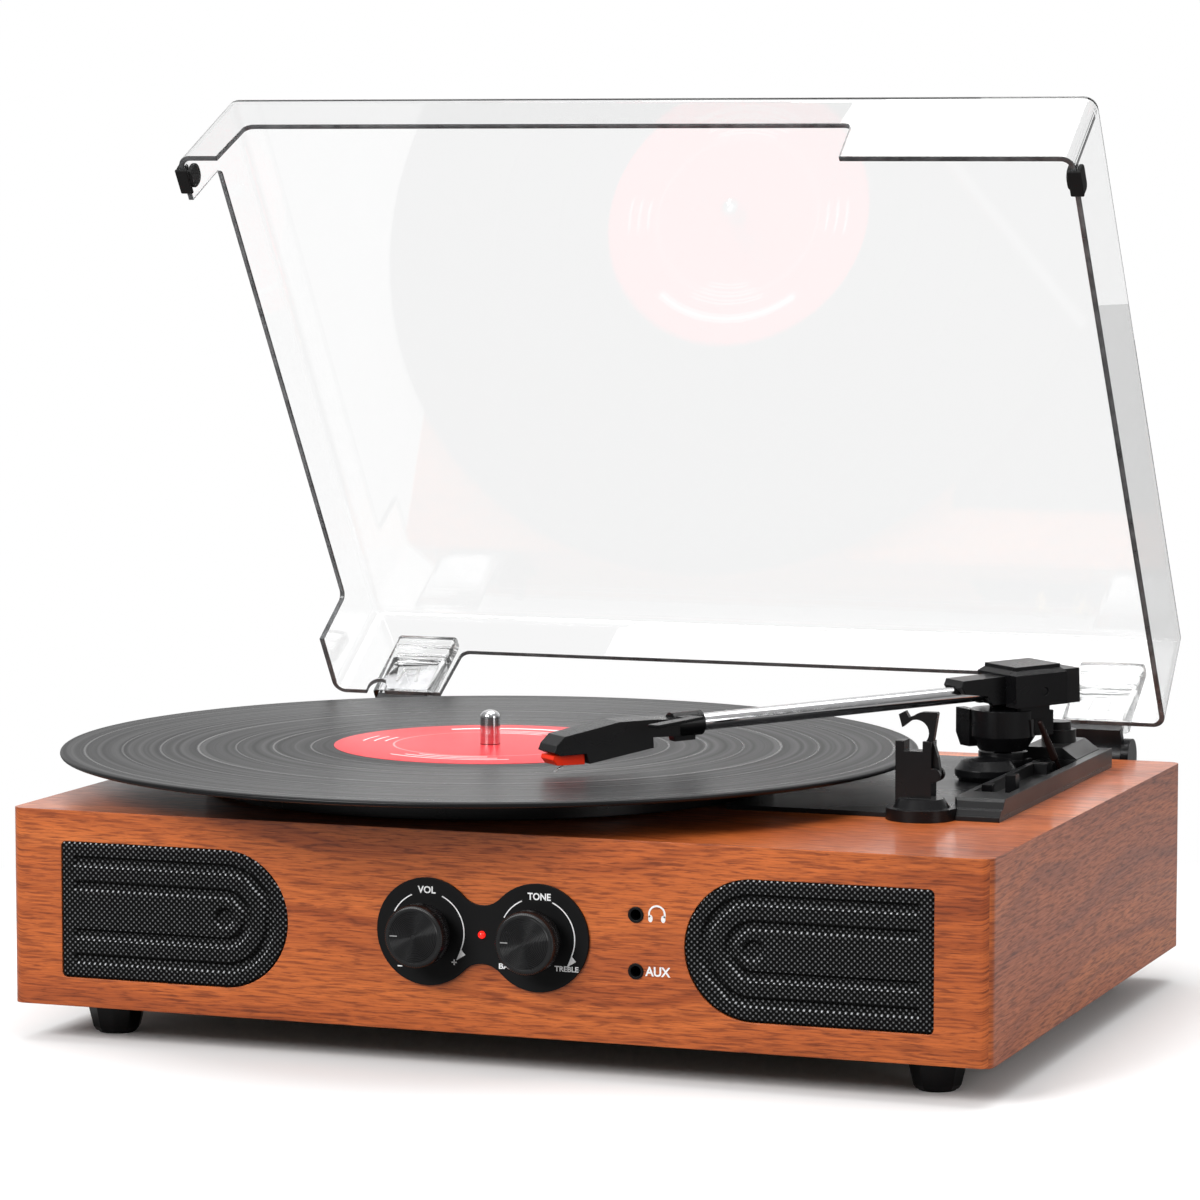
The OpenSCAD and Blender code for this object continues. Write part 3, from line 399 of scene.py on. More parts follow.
def leaf_plastic():
    """Hinge leaf: black, with a pale tongue inside the cover's socket."""
    look = Look("leaf_plastic", (0.02, 0.02, 0.02), 0.4)
    up = LID_OPEN.to_3x3() @ UP
    base = at(*(LID_OPEN @ Vector((0, HINGE.y, SOCKET_Z))))
    source = look.node("TexCoord").outputs["Object"]
    offset = look.node("VectorMath", {0: source, 1: base}, operation="SUBTRACT").outputs[0]
    height = look.node("VectorMath", {0: offset, 1: up}, operation="DOT_PRODUCT").outputs["Value"]
    pale = look.math("GREATER_THAN", height, 0.0)
    cloud = look.noise(look.place(), 160, 3)
    grey = look.ramp(cloud, [(0.3, (0.36, 0.36, 0.37)), (0.7, (0.44, 0.44, 0.45))])
    black = look.ramp(cloud, [(0.3, (0.010, 0.010, 0.011)), (0.7, (0.018, 0.018, 0.019))])
    look.put(look.shader, {"Base Color": look.mix(pale, black, grey)})
    return look.material


def knurled(name, colour):
    return plastic(name, colour, 0.26, grain=2200, depth=0.015, rounding=0, Specular_IOR_Level=0.5)


def speaker_paper():
    look = Look("speaker_paper", (0.03, 0.03, 0.03), 0.9)
    pulp = look.noise(look.place(), 1100, 5)
    look.put(look.shader, {
        "Base Color": look.ramp(pulp, [(0.3, (0.018, 0.018, 0.019)), (0.7, (0.05, 0.05, 0.052))])})
    look.bump(pulp, 0.5, 0.1)
    return look.material


def lamp_lens(name, colour, glow):
    look = Look(name, colour, 0.12, Coat_Weight=0.6, Emission_Strength=glow)
    core = look.noise(look.place(), 900, 2)
    tone = look.ramp(core, [(0.3, shade(colour, 0.8)), (0.7, shade(colour, 1.2))])
    look.put(look.shader, {"Base Color": tone, "Emission Color": (*colour, 1)})
    return look.material


def print_white():
    look = Look("print_white", (0.82, 0.82, 0.82), 0.5)
    ink = look.noise(look.place(), 1800, 3)
    look.put(look.shader, {
        "Base Color": look.ramp(ink, [(0.3, (0.72, 0.72, 0.72)), (0.6, (0.88, 0.88, 0.88))])})
    return look.material


# ---------------------------------------------------------------- mesh helpers


def piece(name, points, faces, body, look, place=None, smooth=True):
    """A mesh object from points in millimetres, moved by place and then into the frame."""
    mesh = bpy.data.meshes.new(name)
    turned = [place @ Vector(point) for point in points] if place else map(Vector, points)
    mesh.from_pydata([at(*point) for point in turned], [], faces)
    return finish_piece(name, mesh, body, look, smooth)


def finish_piece(name, mesh, body, look, smooth=True):
    mesh.validate()
    if smooth:
        mesh.polygons.foreach_set("use_smooth", [True] * len(mesh.polygons))
        mesh.set_sharp_from_angle(angle=math.radians(32))
    obj = bpy.data.objects.new(name, mesh)
    bpy.context.scene.collection.objects.link(obj)
    mesh.materials.append(look)
    if body:
        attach(obj, body)
    return obj


def lathe(profile, segments, closed_start=True, closed_end=True, ripple=None):
    """Turns (radius, height) pairs round Z; ripple(i, radius) may vary the radius."""
    points, faces = [], []
    for radius, height in profile:
        for i in range(segments):
            angle = 2 * math.pi * i / segments
            r = ripple(i, radius) if ripple else radius
            points.append((r * math.cos(angle), r * math.sin(angle), height))
    for row in range(len(profile) - 1):
        for i in range(segments):
            j = (i + 1) % segments
            first, second = row * segments, (row + 1) * segments
            faces.append((first + i, first + j, second + j, second + i))
    if closed_start:
        faces.append(tuple(reversed(range(segments))))
    if closed_end:
        last = (len(profile) - 1) * segments
        faces.append(tuple(range(last, last + segments)))
    return points, faces


def arc(x, y, radius, start, end, steps):
    return [(x + radius * math.cos(math.radians(start + (end - start) * i / steps)),
             y + radius * math.sin(math.radians(start + (end - start) * i / steps)))
            for i in range(steps + 1)]


def rounded_box(width, depth, radius, steps=8):
    w, d = width / 2 - radius, depth / 2 - radius
    return (arc(w, d, radius, 0, 90, steps) + arc(-w, d, radius, 90, 180, steps)
            + arc(-w, -d, radius, 180, 270, steps) + arc(w, -d, radius, 270, 360, steps))


def prism(outline, low, high):
    """Closed prism from an outline in X and Y."""
    count = len(outline)
    points = [(x, y, low) for x, y in outline] + [(x, y, high) for x, y in outline]
    sides = [(i, (i + 1) % count, count + (i + 1) % count, count + i) for i in range(count)]
    return points, sides + [tuple(reversed(range(count))), tuple(range(count, 2 * count))]


def strip(centre_line, width, thickness):
    """Flat closed ribbon along a line in X and Y."""
    left, right = [], []
    for i, point in enumerate(centre_line):
        before = Vector(centre_line[max(i - 1, 0)])
        after = Vector(centre_line[min(i + 1, len(centre_line) - 1)])
        tangent = (after - before).normalized()
        normal = Vector((-tangent.y, tangent.x)) * width / 2
        left.append(tuple(Vector(point) + normal))
        right.append(tuple(Vector(point) - normal))
    return prism(right + left[::-1], 0, thickness)


def front(x, z, out=0.0):
    """Drawing plane on the plinth's front: X right, Y up, Z towards the viewer."""
    return Matrix.Translation((x, FRONT_Y - out, z)) @ Matrix.Rotation(math.pi / 2, 4, "X")


def baked(obj):
    """Applies an object's modifiers to its mesh."""
    bpy.context.view_layer.update()
    graph = bpy.context.evaluated_depsgraph_get()
    mesh = bpy.data.meshes.new_from_object(obj.evaluated_get(graph))
    obj.modifiers.clear()
    obj.data = mesh
    return obj


def loose(name, points, faces):
    mesh = bpy.data.meshes.new(name)
    mesh.from_pydata([Vector(point) * MM for point in points], [], faces)
    obj = bpy.data.objects.new(name, mesh)
    bpy.context.scene.collection.objects.link(obj)
    return obj


def rounded(obj, width_mm, segments=2, angle=40):
    bevel = obj.modifiers.new("round", "BEVEL")
    bevel.width = width_mm * MM
    bevel.segments = segments
    bevel.limit_method = "ANGLE"
    bevel.angle_limit = math.radians(angle)
    normals = obj.modifiers.new("normals", "WEIGHTED_NORMAL")
    normals.keep_sharp = True
    return baked(obj)


# ---------------------------------------------------------------- places taken from the frame

SPINDLE = centre("spindle")
SPINDLE.z = 0
RECORD_LOW, RECORD_HIGH = box_mm("record")
RECORD_R = (RECORD_HIGH.x - RECORD_LOW.x) / 2
LABEL_LOW, LABEL_HIGH = box_mm("record_label")
LABEL_R = (LABEL_HIGH.x - LABEL_LOW.x) / 2
HOLE_R = 3.6
PANEL_OUT = FRONT_Y - box_mm("control_panel")[0].y
KNOBS = {"volume": centre("volume_knob"), "tone": centre("tone_knob")}
HINGE = Vector(JOINTS["lid_hinge"]["pos_m"]) / MM - SHIFT
LID_OPEN = (Matrix.Translation(HINGE)
            @ Matrix.Rotation(-math.radians(JOINTS["lid_hinge"]["range_deg"][1]), 4, "X")
            @ Matrix.Translation(-HINGE))

# Sizes of the cover, drawn shut: its open edge, draft at the top, sockets and hinge tongues.
LID_W, LID_D, LID_H = 331.2, 250.9, 45.8
LID_FRONT, LID_BASE = -126.0, 81.5
LID_REAR = LID_FRONT + LID_D
LID_T, LID_R, LID_ROUND = 2.0, 5.0, 4.0
DRAFT_X, DRAFT_Y, LID_LEAN = 2.1, 3.6, 0.6
SOCKET_X, SOCKET_W, SOCKET_Z, TONGUE_W = 138.2, 25.0, 84.1, 20.3

# Lettering and grille: radius of the knobs' printed arcs, grooves counted in from the edge.
PRINT_ARC_R, PRINT_T = 13.1, 0.05
GROOVE_STARTS, GROOVE_W, GROOVE_DEPTH, GROOVE_SLOPE = (4.5, 13.0), 4.0, 1.0, 1.1
GROOVE_END, DIMPLE_R = 4.4, 3.8


# ---------------------------------------------------------------- record and label


def make_record(looks):
    low, high = RECORD_LOW.z, RECORD_HIGH.z
    edge, bead, segments = RECORD_R, 0.85, 240
    played = high - 0.36
    profile = [(HOLE_R, low), (edge - 1.2, low), (edge - 0.4, low + 0.3)]
    profile += arc(edge - bead, (low + high) / 2, bead, -45, 67.5, 5)
    profile += [(edge - 1.6, high - 0.02), (edge - 4.2, high - 0.32), (edge - 6.0, played)]
    profile += [(radius, played) for radius in (130, 110, 90, 70)]
    profile += [(LABEL_R + 5, played), (LABEL_R + 3.6, high - 0.1),
                (LABEL_R + 0.4, high - 0.02), (LABEL_R - 1, high), (HOLE_R, high)]
    points, faces = lathe(profile, segments, False, False)
    last = (len(profile) - 1) * segments
    faces += [(last + i, last + (i + 1) % segments, (i + 1) % segments, i)
              for i in range(segments)]
    disc = piece("record_disc", points, faces, "platter", looks["vinyl"],
                 Matrix.Translation(SPINDLE))
    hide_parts("record")


def make_label(looks):
    low, high = LABEL_LOW.z, LABEL_HIGH.z
    profile = [(HOLE_R, low + 0.01), (LABEL_R, low + 0.01), (LABEL_R, high - 0.04),
               (LABEL_R - 0.2, high), (HOLE_R, high)]
    points, faces = lathe(profile, 160, False, False)
    label = piece("label_disc", points, faces, "platter", looks["record_paper"],
                  Matrix.Translation(SPINDLE))
    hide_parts("record_label")
    for i, (radius, start, end, width) in enumerate(label_bars()):
        line = arc(0, 0, radius, start, end, 40)
        points, faces = strip(line, width, 0.03)
        bar = piece(f"label_bar_{i}", points, faces, "platter", looks["print_white"],
                    Matrix.Translation(SPINDLE + UP * (high + 0.005)), smooth=False)


def label_bars():
    """Plain curved bars in place of the label's print: radius, angles, width."""
    yield 44, 50, 130, 2.4
    for i in range(3):
        yield 37 - 3.4 * i, 66 + 4 * i, 114 - 4 * i, 0.8
    for side in (-1, 1):
        for i in range(3):
            yield 46 - 4 * i, 90 + side * 90 - 9, 90 + side * 90 + 9, 0.7
    for i in range(3):
        yield 44 - 3.6 * i, 240 + 5 * i, 300 - 5 * i, 0.8


# ---------------------------------------------------------------- front controls


def make_knob(name, looks):
    spot = KNOBS[name]
    low, high = box_mm(f"{name}_knob")
    radius = (high.x - low.x) / 2
    out = FRONT_Y - low.y
    teeth, per_tooth = 88, 4
    segments = teeth * per_tooth

    def ripple(i, r):
        notch = 0.16 * (1 - math.cos(2 * math.pi * (i % per_tooth) / per_tooth))
        return r - notch if r > radius - 0.8 else r

    profile = [(3.1, 1.7), (radius - 1.7, 1.7), (radius - 1.7, 6.0), (radius - 0.2, 6.2),
               (radius, 6.7), (radius, out - 1.0), (radius - 0.25, out - 0.6),
               (radius - 0.95, out - 0.25), (radius - 1.5, out - 0.25)]
    rings = int((radius - 1.9) / 0.55)
    for i in range(rings):
        middle = radius - 1.7 - 0.55 * i
        profile += [(middle, out - 0.30), (middle - 0.2, out - 0.1), (middle - 0.35, out - 0.1)]
    points, faces = lathe(profile, segments, False, True, ripple)
    knob = piece(f"{name}_knob_turned", points, faces, f"{name}_control", looks["knob_black"],
                 front(spot.x, spot.z))
    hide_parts(f"{name}_knob")
    points, faces = prism([(-8.2, -0.16), (-5.6, -0.16), (-5.6, 0.16), (-8.2, 0.16)], 0, 0.06)
    mark = piece(f"{name}_pointer", points, faces, f"{name}_control", looks["print_grey"],
                 front(spot.x, spot.z, out - 0.1), smooth=False)


def print_on_front(name, points, faces, looks, x, z, out):
    mark = piece(name, points, faces, "plinth", looks["print_white"], front(x, z, out),
                 smooth=False)


def make_word(name, text, box, out, looks):
    """A word of plain lettering, fitted to a box (x low, x high, z low, z high)."""
    curve = bpy.data.curves.new(name, "FONT")
    curve.body = text
    curve.offset = 0.028
    curve.resolution_u = 4
    holder = bpy.data.objects.new(name, curve)
    bpy.context.scene.collection.objects.link(holder)
    bpy.context.view_layer.update()
    mesh = bpy.data.meshes.new_from_object(
        holder.evaluated_get(bpy.context.evaluated_depsgraph_get()))
    bpy.data.objects.remove(holder)
    xs = [vertex.co.x for vertex in mesh.vertices]
    ys = [vertex.co.y for vertex in mesh.vertices]
    scale_x = (box[1] - box[0]) / (max(xs) - min(xs))
    scale_y = (box[3] - box[2]) / (max(ys) - min(ys))
    points = [((v.co.x - min(xs)) * scale_x, (v.co.y - min(ys)) * scale_y, 0)
              for v in mesh.vertices]
    faces = [tuple(polygon.vertices) for polygon in mesh.polygons]
    print_on_front(f"print_{name}", points, faces, looks, box[0], box[2], out + PRINT_T)
    bpy.data.meshes.remove(mesh)


def make_prints(looks):
    out = PANEL_OUT
    make_word("vol", "VOL", (-22.7, -16.3, 59.0, 61.4), out, looks)
    make_word("tone", "TONE", (16.1, 24.2, 58.8, 61.2), out, looks)
    make_word("bass", "BASS", (6.0, 12.4, 35.4, 37.3), out, looks)
    make_word("treble", "TREBLE", (25.5, 33.8, 35.8, 37.6), out, looks)
    make_word("aux", "AUX", (56.5, 65.2, 35.9, 39.1), 0, looks)
    for knob in KNOBS.values():
        for i, (start, end) in enumerate(((114, 152), (66, -24))):
            points, faces = strip(arc(0, 0, PRINT_ARC_R, start, end, 24), 0.36, PRINT_T)
            print_on_front(f"print_arc_{i}_{round(knob.x)}", points, faces, looks,
                           knob.x, knob.z, out)
        corners = [arc(0, 0, radius, angle, angle, 1)[0]
                   for radius, angle in ((13.0, -23.5), (13.7, -41), (15.3, -27.5))]
        points, faces = prism(corners, 0, PRINT_T)
        print_on_front(f"print_arrow_{round(knob.x)}", points, faces, looks, knob.x, knob.z, out)
    minus, bar = (-29.1, 34.3), strip([(-0.8, 0), (0.8, 0)], 0.4, PRINT_T)
    print_on_front("print_minus", *bar, looks, *minus, out)
    for i, line in enumerate(([(-0.9, 0), (0.9, 0)], [(0, -0.9), (0, 0.9)])):
        print_on_front(f"print_plus_{i}", *strip(line, 0.4, PRINT_T), looks, -9.8, 36.6, out)
    print_on_front("print_headband", *strip(arc(0, 0, 2.7, -22, 202, 24), 0.6, PRINT_T),
                   looks, 60.5, 56.3, 0)
    for side in (-1, 1):
        cup = [(side * 2.2 + 0.75 * math.cos(a), -1.5 + 1.2 * math.sin(a))
               for a in [math.radians(18 * i) for i in range(20)]]
        print_on_front(f"print_cup_{side + 1}", *prism(cup, 0, PRINT_T), looks, 60.5, 56.3, 0)


# ---------------------------------------------------------------- clear cover


def lid_outline(inset, rise, extra):
    """Outline of the cover at a share of its height, drawn in by its draft."""
    width = LID_W - 2 * (inset + DRAFT_X * rise + extra)
    depth = LID_D - 2 * (inset + DRAFT_Y * rise + extra)
    radius = max(LID_R - inset - extra, 0.8)
    middle = LID_FRONT + LID_D / 2 + LID_LEAN * rise
    return [(x, y + middle) for x, y in rounded_box(width, depth, radius)]


def lid_loops(inset):
    height = LID_H - inset
    rounding = LID_ROUND - inset
    loops = [(lid_outline(inset, 0, 0), LID_BASE)]
    for i in range(7):
        angle = math.radians(15 * i)
        rise = height / LID_H
        extra = rounding * (1 - math.cos(angle))
        z = LID_BASE + height - rounding + rounding * math.sin(angle)
        loops.append((lid_outline(inset, rise, extra), z))
    return loops


def make_lid(looks):
    outer, inner = lid_loops(0), lid_loops(LID_T)
    loops = outer[::-1] + inner
    points, faces = skin(loops)
    shell = loose("lid_shell", points, faces)
    add_slots(shell, looks)
    ring = len(loops[0][0])
    rim = 1 + (len(outer) - 1) * ring
    for polygon in shell.data.polygons[rim:rim + ring]:
        polygon.material_index = 1
    cutters = [cutout_cutter("front", -149.7, 83, "y", LID_FRONT),
               cutout_cutter("rear", -121, 121, "y", LID_REAR),
               cutout_cutter("left", LID_FRONT + 19, LID_REAR - 27, "x", -LID_W / 2),
               notch_cutter()]
    for i, cutter in enumerate(cutters):
        add_slots(cutter, looks)
        cutter.data.polygons.foreach_set("material_index", [1] * len(cutter.data.polygons))
        cut = shell.modifiers.new(f"cut_{i}", "BOOLEAN")
        cut.operation = "DIFFERENCE"
        cut.solver = "EXACT"
        cut.object = cutter
    baked(shell)
    for cutter in cutters:
        bpy.data.objects.remove(cutter)
    rounded(shell, 0.3, 2, 50)
    place_in_lid(shell, "lid_shell")
    for side in (-1, 1):
        make_socket(side, looks)
    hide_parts("lid")


def add_slots(obj, looks):
    obj.data.materials.append(looks["clear_acrylic"])
    obj.data.materials.append(looks["clear_edge"])


def skin(loops):
    """Closed surface through loops of equal length, capped at both ends."""
    count = len(loops[0][0])
    points = [(x, y, z) for outline, z in loops for x, y in outline]
    faces = [tuple(range(count))]
    for row in range(len(loops) - 1):
        for i in range(count):
            j = (i + 1) % count
            first, second = row * count, (row + 1) * count
            faces.append((first + i, second + i, second + j, first + j))
    last = (len(loops) - 1) * count
    return points, faces + [tuple(reversed(range(last, last + count)))]


def notch_cutter():
    """Small arched notch in the back wall's open edge, by the left socket."""
    outline = [(-144.5, -1)] + arc(-148.2, 2.7, 3.7, 0, 180, 12) + [(-151.9, -1)]
    points, faces = prism(outline, -4, 4)
    cutter = loose("cutter_notch", points, faces)
    cutter.data.transform(Matrix.Translation(Vector((0, LID_REAR, LID_BASE)) * MM)
                          @ Matrix.Rotation(math.pi / 2, 4, "X"))
    return cutter


def place_in_lid(obj, name, slot="clear_cover"):
    """Turns a piece drawn shut, in millimetres scaled to metres, to its open place."""
    obj.name = name
    obj.data.transform(Matrix.Scale(MM, 4) @ Matrix.Translation(SHIFT) @ LID_OPEN
                       @ Matrix.Scale(1 / MM, 4))
    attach(obj, "lid")
    if slot == "clear_cover":
        obj.visible_shadow = False


def cutout_cutter(name, start, end, axis, wall):
    """Cut-out in a wall: narrower at its top by a lean, with rounded corners."""
    top, lean, radius = 23.8, 1.9, 3.0
    outline = [(start - 0.2, -2), (end + 0.2, -2)]
    outline += arc(end - lean - radius, top - radius, radius, 0, 90, 6)
    outline += arc(start + lean + radius, top - radius, radius, 90, 180, 6)
    points, faces = prism(outline, -12, 12)
    cutter = loose(f"cutter_{name}", points, faces)
    turn = Matrix.Rotation(math.pi / 2, 4, "X")
    place = Matrix.Translation(Vector((0, wall, LID_BASE)) * MM)
    if axis == "x":
        turn = Matrix.Rotation(math.pi / 2, 4, "Z") @ turn
        place = Matrix.Translation(Vector((wall, 0, LID_BASE)) * MM)
    cutter.data.transform(place @ turn)
    return cutter


def make_socket(side, looks):
    """Clear sleeve on the back wall, open below for the hinge's tongue, with pads and ribs."""
    width = SOCKET_W
    middle = side * SOCKET_X
    wall = LID_REAR
    low, high = SOCKET_Z, SOCKET_Z + 33
    outline = rounded_box(width, 6.0, 1.4, 4)
    hole = rounded_box(TONGUE_W + 0.1, 3.1, 0.4, 4)
    top = high - 13
    loops = [([(x * 0.93, y * 0.72) for x, y in outline], high),
             ([(x * 0.98, y * 0.93) for x, y in outline], high - 0.5), (outline, high - 1.5),
             (outline, low + 0.5), ([(x * 0.98, y * 0.95) for x, y in outline], low),
             (hole, low), (hole, top - 0.6), ([(x * 0.97, y * 0.8) for x, y in hole], top)]
    points, faces = skin([([(x + middle, y + wall + 3.02) for x, y in loop], z)
                          for loop, z in loops])
    socket = loose(f"lid_socket_{side + 1}", points, faces)
    socket.data.materials.append(looks["clear_acrylic"])
    socket.data.polygons.foreach_set("use_smooth", [True] * len(socket.data.polygons))
    socket.data.set_sharp_from_angle(angle=math.radians(40))
    place_in_lid(socket, f"lid_socket_{side + 1}")
    bars = [[(-width / 2 + 0.9, high - 4.4), (width / 2 - 0.9, high - 4.4)],
            [(-width / 2 + 2.2, high - 9.6), (width / 2 - 2.2, high - 9.6)]]
    for i, line in enumerate(bars):
        points, faces = prism(rounded_box(line[1][0] - line[0][0], 1.5, 0.7, 3), 0, 1.3)
        bar = loose(f"socket_bar_{side + 1}_{i}", points, faces)
        bar.data.transform(Matrix.Translation(Vector((middle, wall + 6.0, line[0][1])) * MM)
                           @ Matrix.Rotation(math.pi / 2, 4, "X"))
        bar.data.materials.append(looks["clear_acrylic"])
        rounded(bar, 0.3, 2)
        place_in_lid(bar, f"socket_bar_{side + 1}_{i}")
    slant = [(-4.6, 2.4), (-3.2, 11.0), (3.2, 11.0), (4.6, 2.4), (3.4, 2.4), (2.3, 9.9),
             (-2.3, 9.9), (-3.4, 2.4)]
    points, faces = prism(slant, 0, 0.5)
    mark = loose(f"tongue_rib_{side + 1}", points, faces)
    mark.data.transform(Matrix.Translation(Vector((middle, wall + 1.52, low + 3)) * MM)
                        @ Matrix.Rotation(math.pi / 2, 4, "X"))
    mark.data.materials.append(looks["print_grey"])
    rounded(mark, 0.15, 1)
    place_in_lid(mark, f"tongue_rib_{side + 1}", "grey_plastic")


def make_bumpers(looks):
    """Soft clips pushed over the cover's side walls: a rounded outer pad and an inner lobe."""
    lean = DRAFT_X / (LID_H - LID_ROUND)
    middle_y = LID_FRONT + 10.4
    parts = []
    for side in (-1, 1):
        x = side * LID_W / 2
        shapes = [(rounded_box(10.2, 6.2, 2.2, 5), 0.1, 1.6, 2.0),
                  (rounded_box(8.4, 8.2, 3.6, 6), -2.1 - 1.7, -2.1, 3.4),
                  (rounded_box(10.2, 1.3, 0.55, 3), -3.2, 1.6, -0.65)]
        for i, (outline, inner, outer, z) in enumerate(shapes):
            points, faces = prism(outline, min(inner, outer), max(inner, outer))
            part = loose(f"bumper_{side + 1}_{i}", points, faces)
            axes = Matrix(((0, 0, side, 0), (1, 0, 0, 0), (0, 1, 0, 0), (0, 0, 0, 1)))
            if side < 0:
                part.data.flip_normals()
            spot = Vector((x - side * lean * z, middle_y, LID_BASE + z))
            part.data.transform(Matrix.Translation(spot * MM) @ axes)
            part.data.materials.append(looks["rubber"])
            rounded(part, 0.5, 3)
            place_in_lid(part, f"lid_clip_{side + 1}_{i}", "soft_clip")
            parts.append(part)
    for part in parts:
        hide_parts("lid_bumpers")


# ---------------------------------------------------------------- grilles


def make_grille(side, looks):
    """Grille face as one fine sheet: rounded U grooves, a round dimple, softened outer edge."""
    name = "grille_left" if side < 0 else "grille_right"
    low, high = box_mm(name)
    height = high.z - low.z
    outer, tip = (high.x, low.x) if side > 0 else (-low.x, -high.x)
    arch = tip + height / 2
    middle = (low.z + high.z) / 2
    step = 0.5
    columns = round((outer - tip) / step)
    rows = round(height / step)
    points, index = [], {}
    for i in range(columns + 1):
        x = tip + (outer - tip) * i / columns
        half = height / 2
        if x < arch:
            half = math.sqrt(max((height / 2) ** 2 - (arch - x) ** 2, 0.36))
        for j in range(rows + 1):
            z = half * (2 * j / rows - 1)
            index[i, j] = len(points)
            points.append((side * x, FRONT_Y + groove_depth(x, z, arch, outer, height / 2),
                           middle + z))
    faces = [(index[i, j], index[i + 1, j], index[i + 1, j + 1], index[i, j + 1])
             for i in range(columns) for j in range(rows)]
    if side < 0:
        faces = [face[::-1] for face in faces]
    sheet = piece(f"{name}_face", points, faces, "plinth", looks["perforated_grille"])
    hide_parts(name)


def groove_depth(x, z, arch, outer, half):
    """How far the sheet lies behind the front face."""
    from_arch = math.hypot(x - arch, z)
    inset = half - (from_arch if x < arch else abs(z))
    edge = min(inset, outer - x)
    depth = GROOVE_DEPTH * smooth((DIMPLE_R - from_arch) / GROOVE_SLOPE)
    for start in GROOVE_STARTS:
        across = min(inset - start, start + GROOVE_W - inset, outer - GROOVE_END - x)
        depth = max(depth, GROOVE_DEPTH * smooth(across / GROOVE_SLOPE))
    return depth + 0.6 * (1 - smooth(edge / 0.7)) + 0.02


def smooth(t):
    t = min(max(t, 0.0), 1.0)
    return t * t * (3 - 2 * t)


# ---------------------------------------------------------------- assembly

CAD_LOOKS = {
    "wood_veneer": ["cabinet"],
    "fibreboard": ["bottom_panel"],
    "perforated_grille": ["grille_left", "grille_right"],
    "black_gloss": ["foot_front_left", "foot_front_right", "foot_rear_left", "foot_rear_right"],
    "panel_black": ["control_panel", "rear_jack_plate"],
    "black_plastic": ["deck_plate", "speed_selector", "auto_stop_switch", "arm_rest", "arm_clip",
                      "arm_pedestal", "arm_swivel", "arm_housing", "arm_channel", "headshell",
                      "hinge_brackets", "power_inlet", "headphone_jack", "aux_jack",
                      "finger_lift", "tilt_pin", "hinge_pins"],
    "grey_plastic": ["mechanism_cover", "wire_guide_block", "arm_counterweight"],
    "leaf_plastic": ["hinge_leaves"],
    "platter_black": ["platter"],
    "rubber": ["platter_mat", "drive_belt", "foot_pads", "lid_bumpers"],
    "steel": ["base_screws", "speaker_frames", "volume_pot", "tone_pot", "volume_shaft",
              "tone_shaft", "motor", "stylus"],
    "chrome": ["spindle", "arm_tube"],
    "brass": ["line_out_jacks", "motor_pulley", "bearing_bush"],
    "speaker_paper": ["speaker_cones"],
    "lamp_red": ["power_led"],
    "stylus_red": ["stylus_holder"],
    "board_green": ["amplifier_board"],
    "wire_sleeve": ["arm_wires"],
    "clear_acrylic": ["lid"],
    "vinyl": ["record"],
    "record_paper": ["record_label"],
    "knob_black": ["volume_knob", "tone_knob"],
}


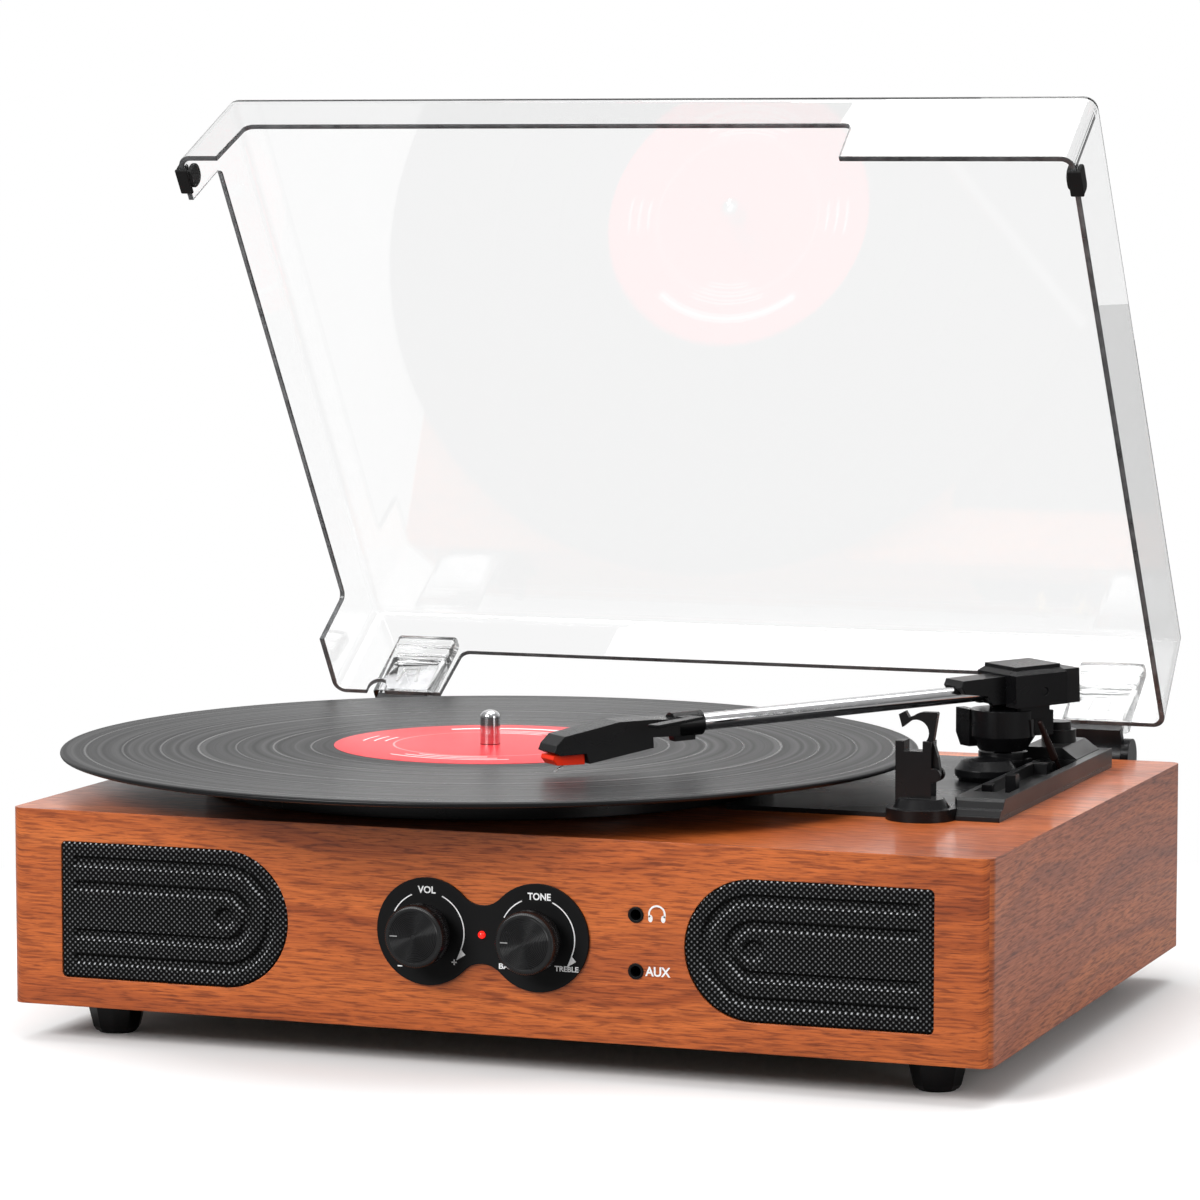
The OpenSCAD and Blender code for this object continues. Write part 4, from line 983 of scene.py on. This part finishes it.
def make_looks():
    looks = {
        "wood_veneer": wood_veneer(),
        "fibreboard": fibreboard(),
        "perforated_grille": perforated_grille(),
        "vinyl": vinyl(),
        "record_paper": record_paper(),
        "clear_acrylic": clear_acrylic(),
        "speaker_paper": speaker_paper(),
        "lamp_red": lamp_lens("lamp_red", (0.85, 0.015, 0.01), 1.2),
        "print_white": print_white(),
        "knob_black": knurled("knob_black", (0.006, 0.006, 0.0065)),
        "black_plastic": plastic("black_plastic", (0.0045, 0.0045, 0.005), 0.27),
        "panel_black": plastic("panel_black", (0.0045, 0.0045, 0.0048), 0.5, rounding=0.5,
                               Specular_IOR_Level=0.15),
        "black_gloss": plastic("black_gloss", (0.004, 0.004, 0.0045), 0.12, depth=0.005,
                               rounding=0.5, Coat_Weight=0.5),
        "grey_plastic": plastic("grey_plastic", (0.010, 0.010, 0.0105), 0.32),
        "platter_black": plastic("platter_black", (0.005, 0.005, 0.0055), 0.26, rounding=0.6),
        "rubber": plastic("rubber", (0.007, 0.007, 0.007), 0.7, grain=900, depth=0.06),
        "leaf_plastic": leaf_plastic(),
        "clear_edge": clear_edge(),
        "print_grey": plastic("print_grey", (0.35, 0.35, 0.35), 0.5, rounding=0),
        "stylus_red": plastic("stylus_red", (1.0, 0.03, 0.004), 0.3, depth=0.01),
        "board_green": plastic("board_green", (0.02, 0.12, 0.05), 0.4),
        "wire_sleeve": plastic("wire_sleeve", (0.016, 0.007, 0.006), 0.25),
        "steel": metal("steel", (0.62, 0.62, 0.63), 0.3),
        "chrome": metal("chrome", (0.70, 0.70, 0.71), 0.07, stretch=(1, 1, 6)),
        "brass": metal("brass", (0.78, 0.58, 0.25), 0.25),
    }
    for look, members in CAD_LOOKS.items():
        for node in members:
            NODES[node].data.materials.clear()
            NODES[node].data.materials.append(looks[look])
    return looks


def make_floor():
    """Plain white floor that fades into the white backdrop a little way from the player."""
    look = Look("floor_white", (0.9, 0.9, 0.9), 0.9)
    grain = look.noise(look.place(), 3, 2)
    look.put(look.shader, {
        "Base Color": look.ramp(grain, [(0.3, (0.90, 0.90, 0.90)), (0.7, (0.93, 0.93, 0.93))])})
    backdrop = look.node("Emission", {"Color": (1, 1, 1, 1)}).outputs[0]
    fade = look.spread(look.radius(at(0, 0, 0)), 230, 420, 0, 1)
    seen = look.node("MixShader", {0: fade, 1: look.shader.outputs[0], 2: backdrop}).outputs[0]
    dim = look.node("BsdfDiffuse", {"Color": (0.30, 0.30, 0.30, 1)}).outputs[0]
    path = look.node("LightPath").outputs
    direct = look.math("MAXIMUM", path["Is Camera Ray"], path["Is Transmission Ray"])
    blend = look.node("MixShader", {0: direct, 1: dim, 2: seen}).outputs[0]
    look.put(look.tree.nodes["Material Output"], {"Surface": blend})
    half = 12000
    points = [(-half, -half, 0), (half, -half, 0), (half, half, 0), (-half, half, 0)]
    floor = piece("floor", points, [(0, 1, 2, 3)], None, look.material, smooth=False)


bpy.context.scene.view_settings.view_transform = "Standard"
make_camera()
make_world()
make_lights()
make_floor()
LOOKS = make_looks()
make_record(LOOKS)
make_label(LOOKS)
for knob_name in KNOBS:
    make_knob(knob_name, LOOKS)
make_prints(LOOKS)
make_lid(LOOKS)
make_bumpers(LOOKS)
make_grille(-1, LOOKS)
make_grille(1, LOOKS)
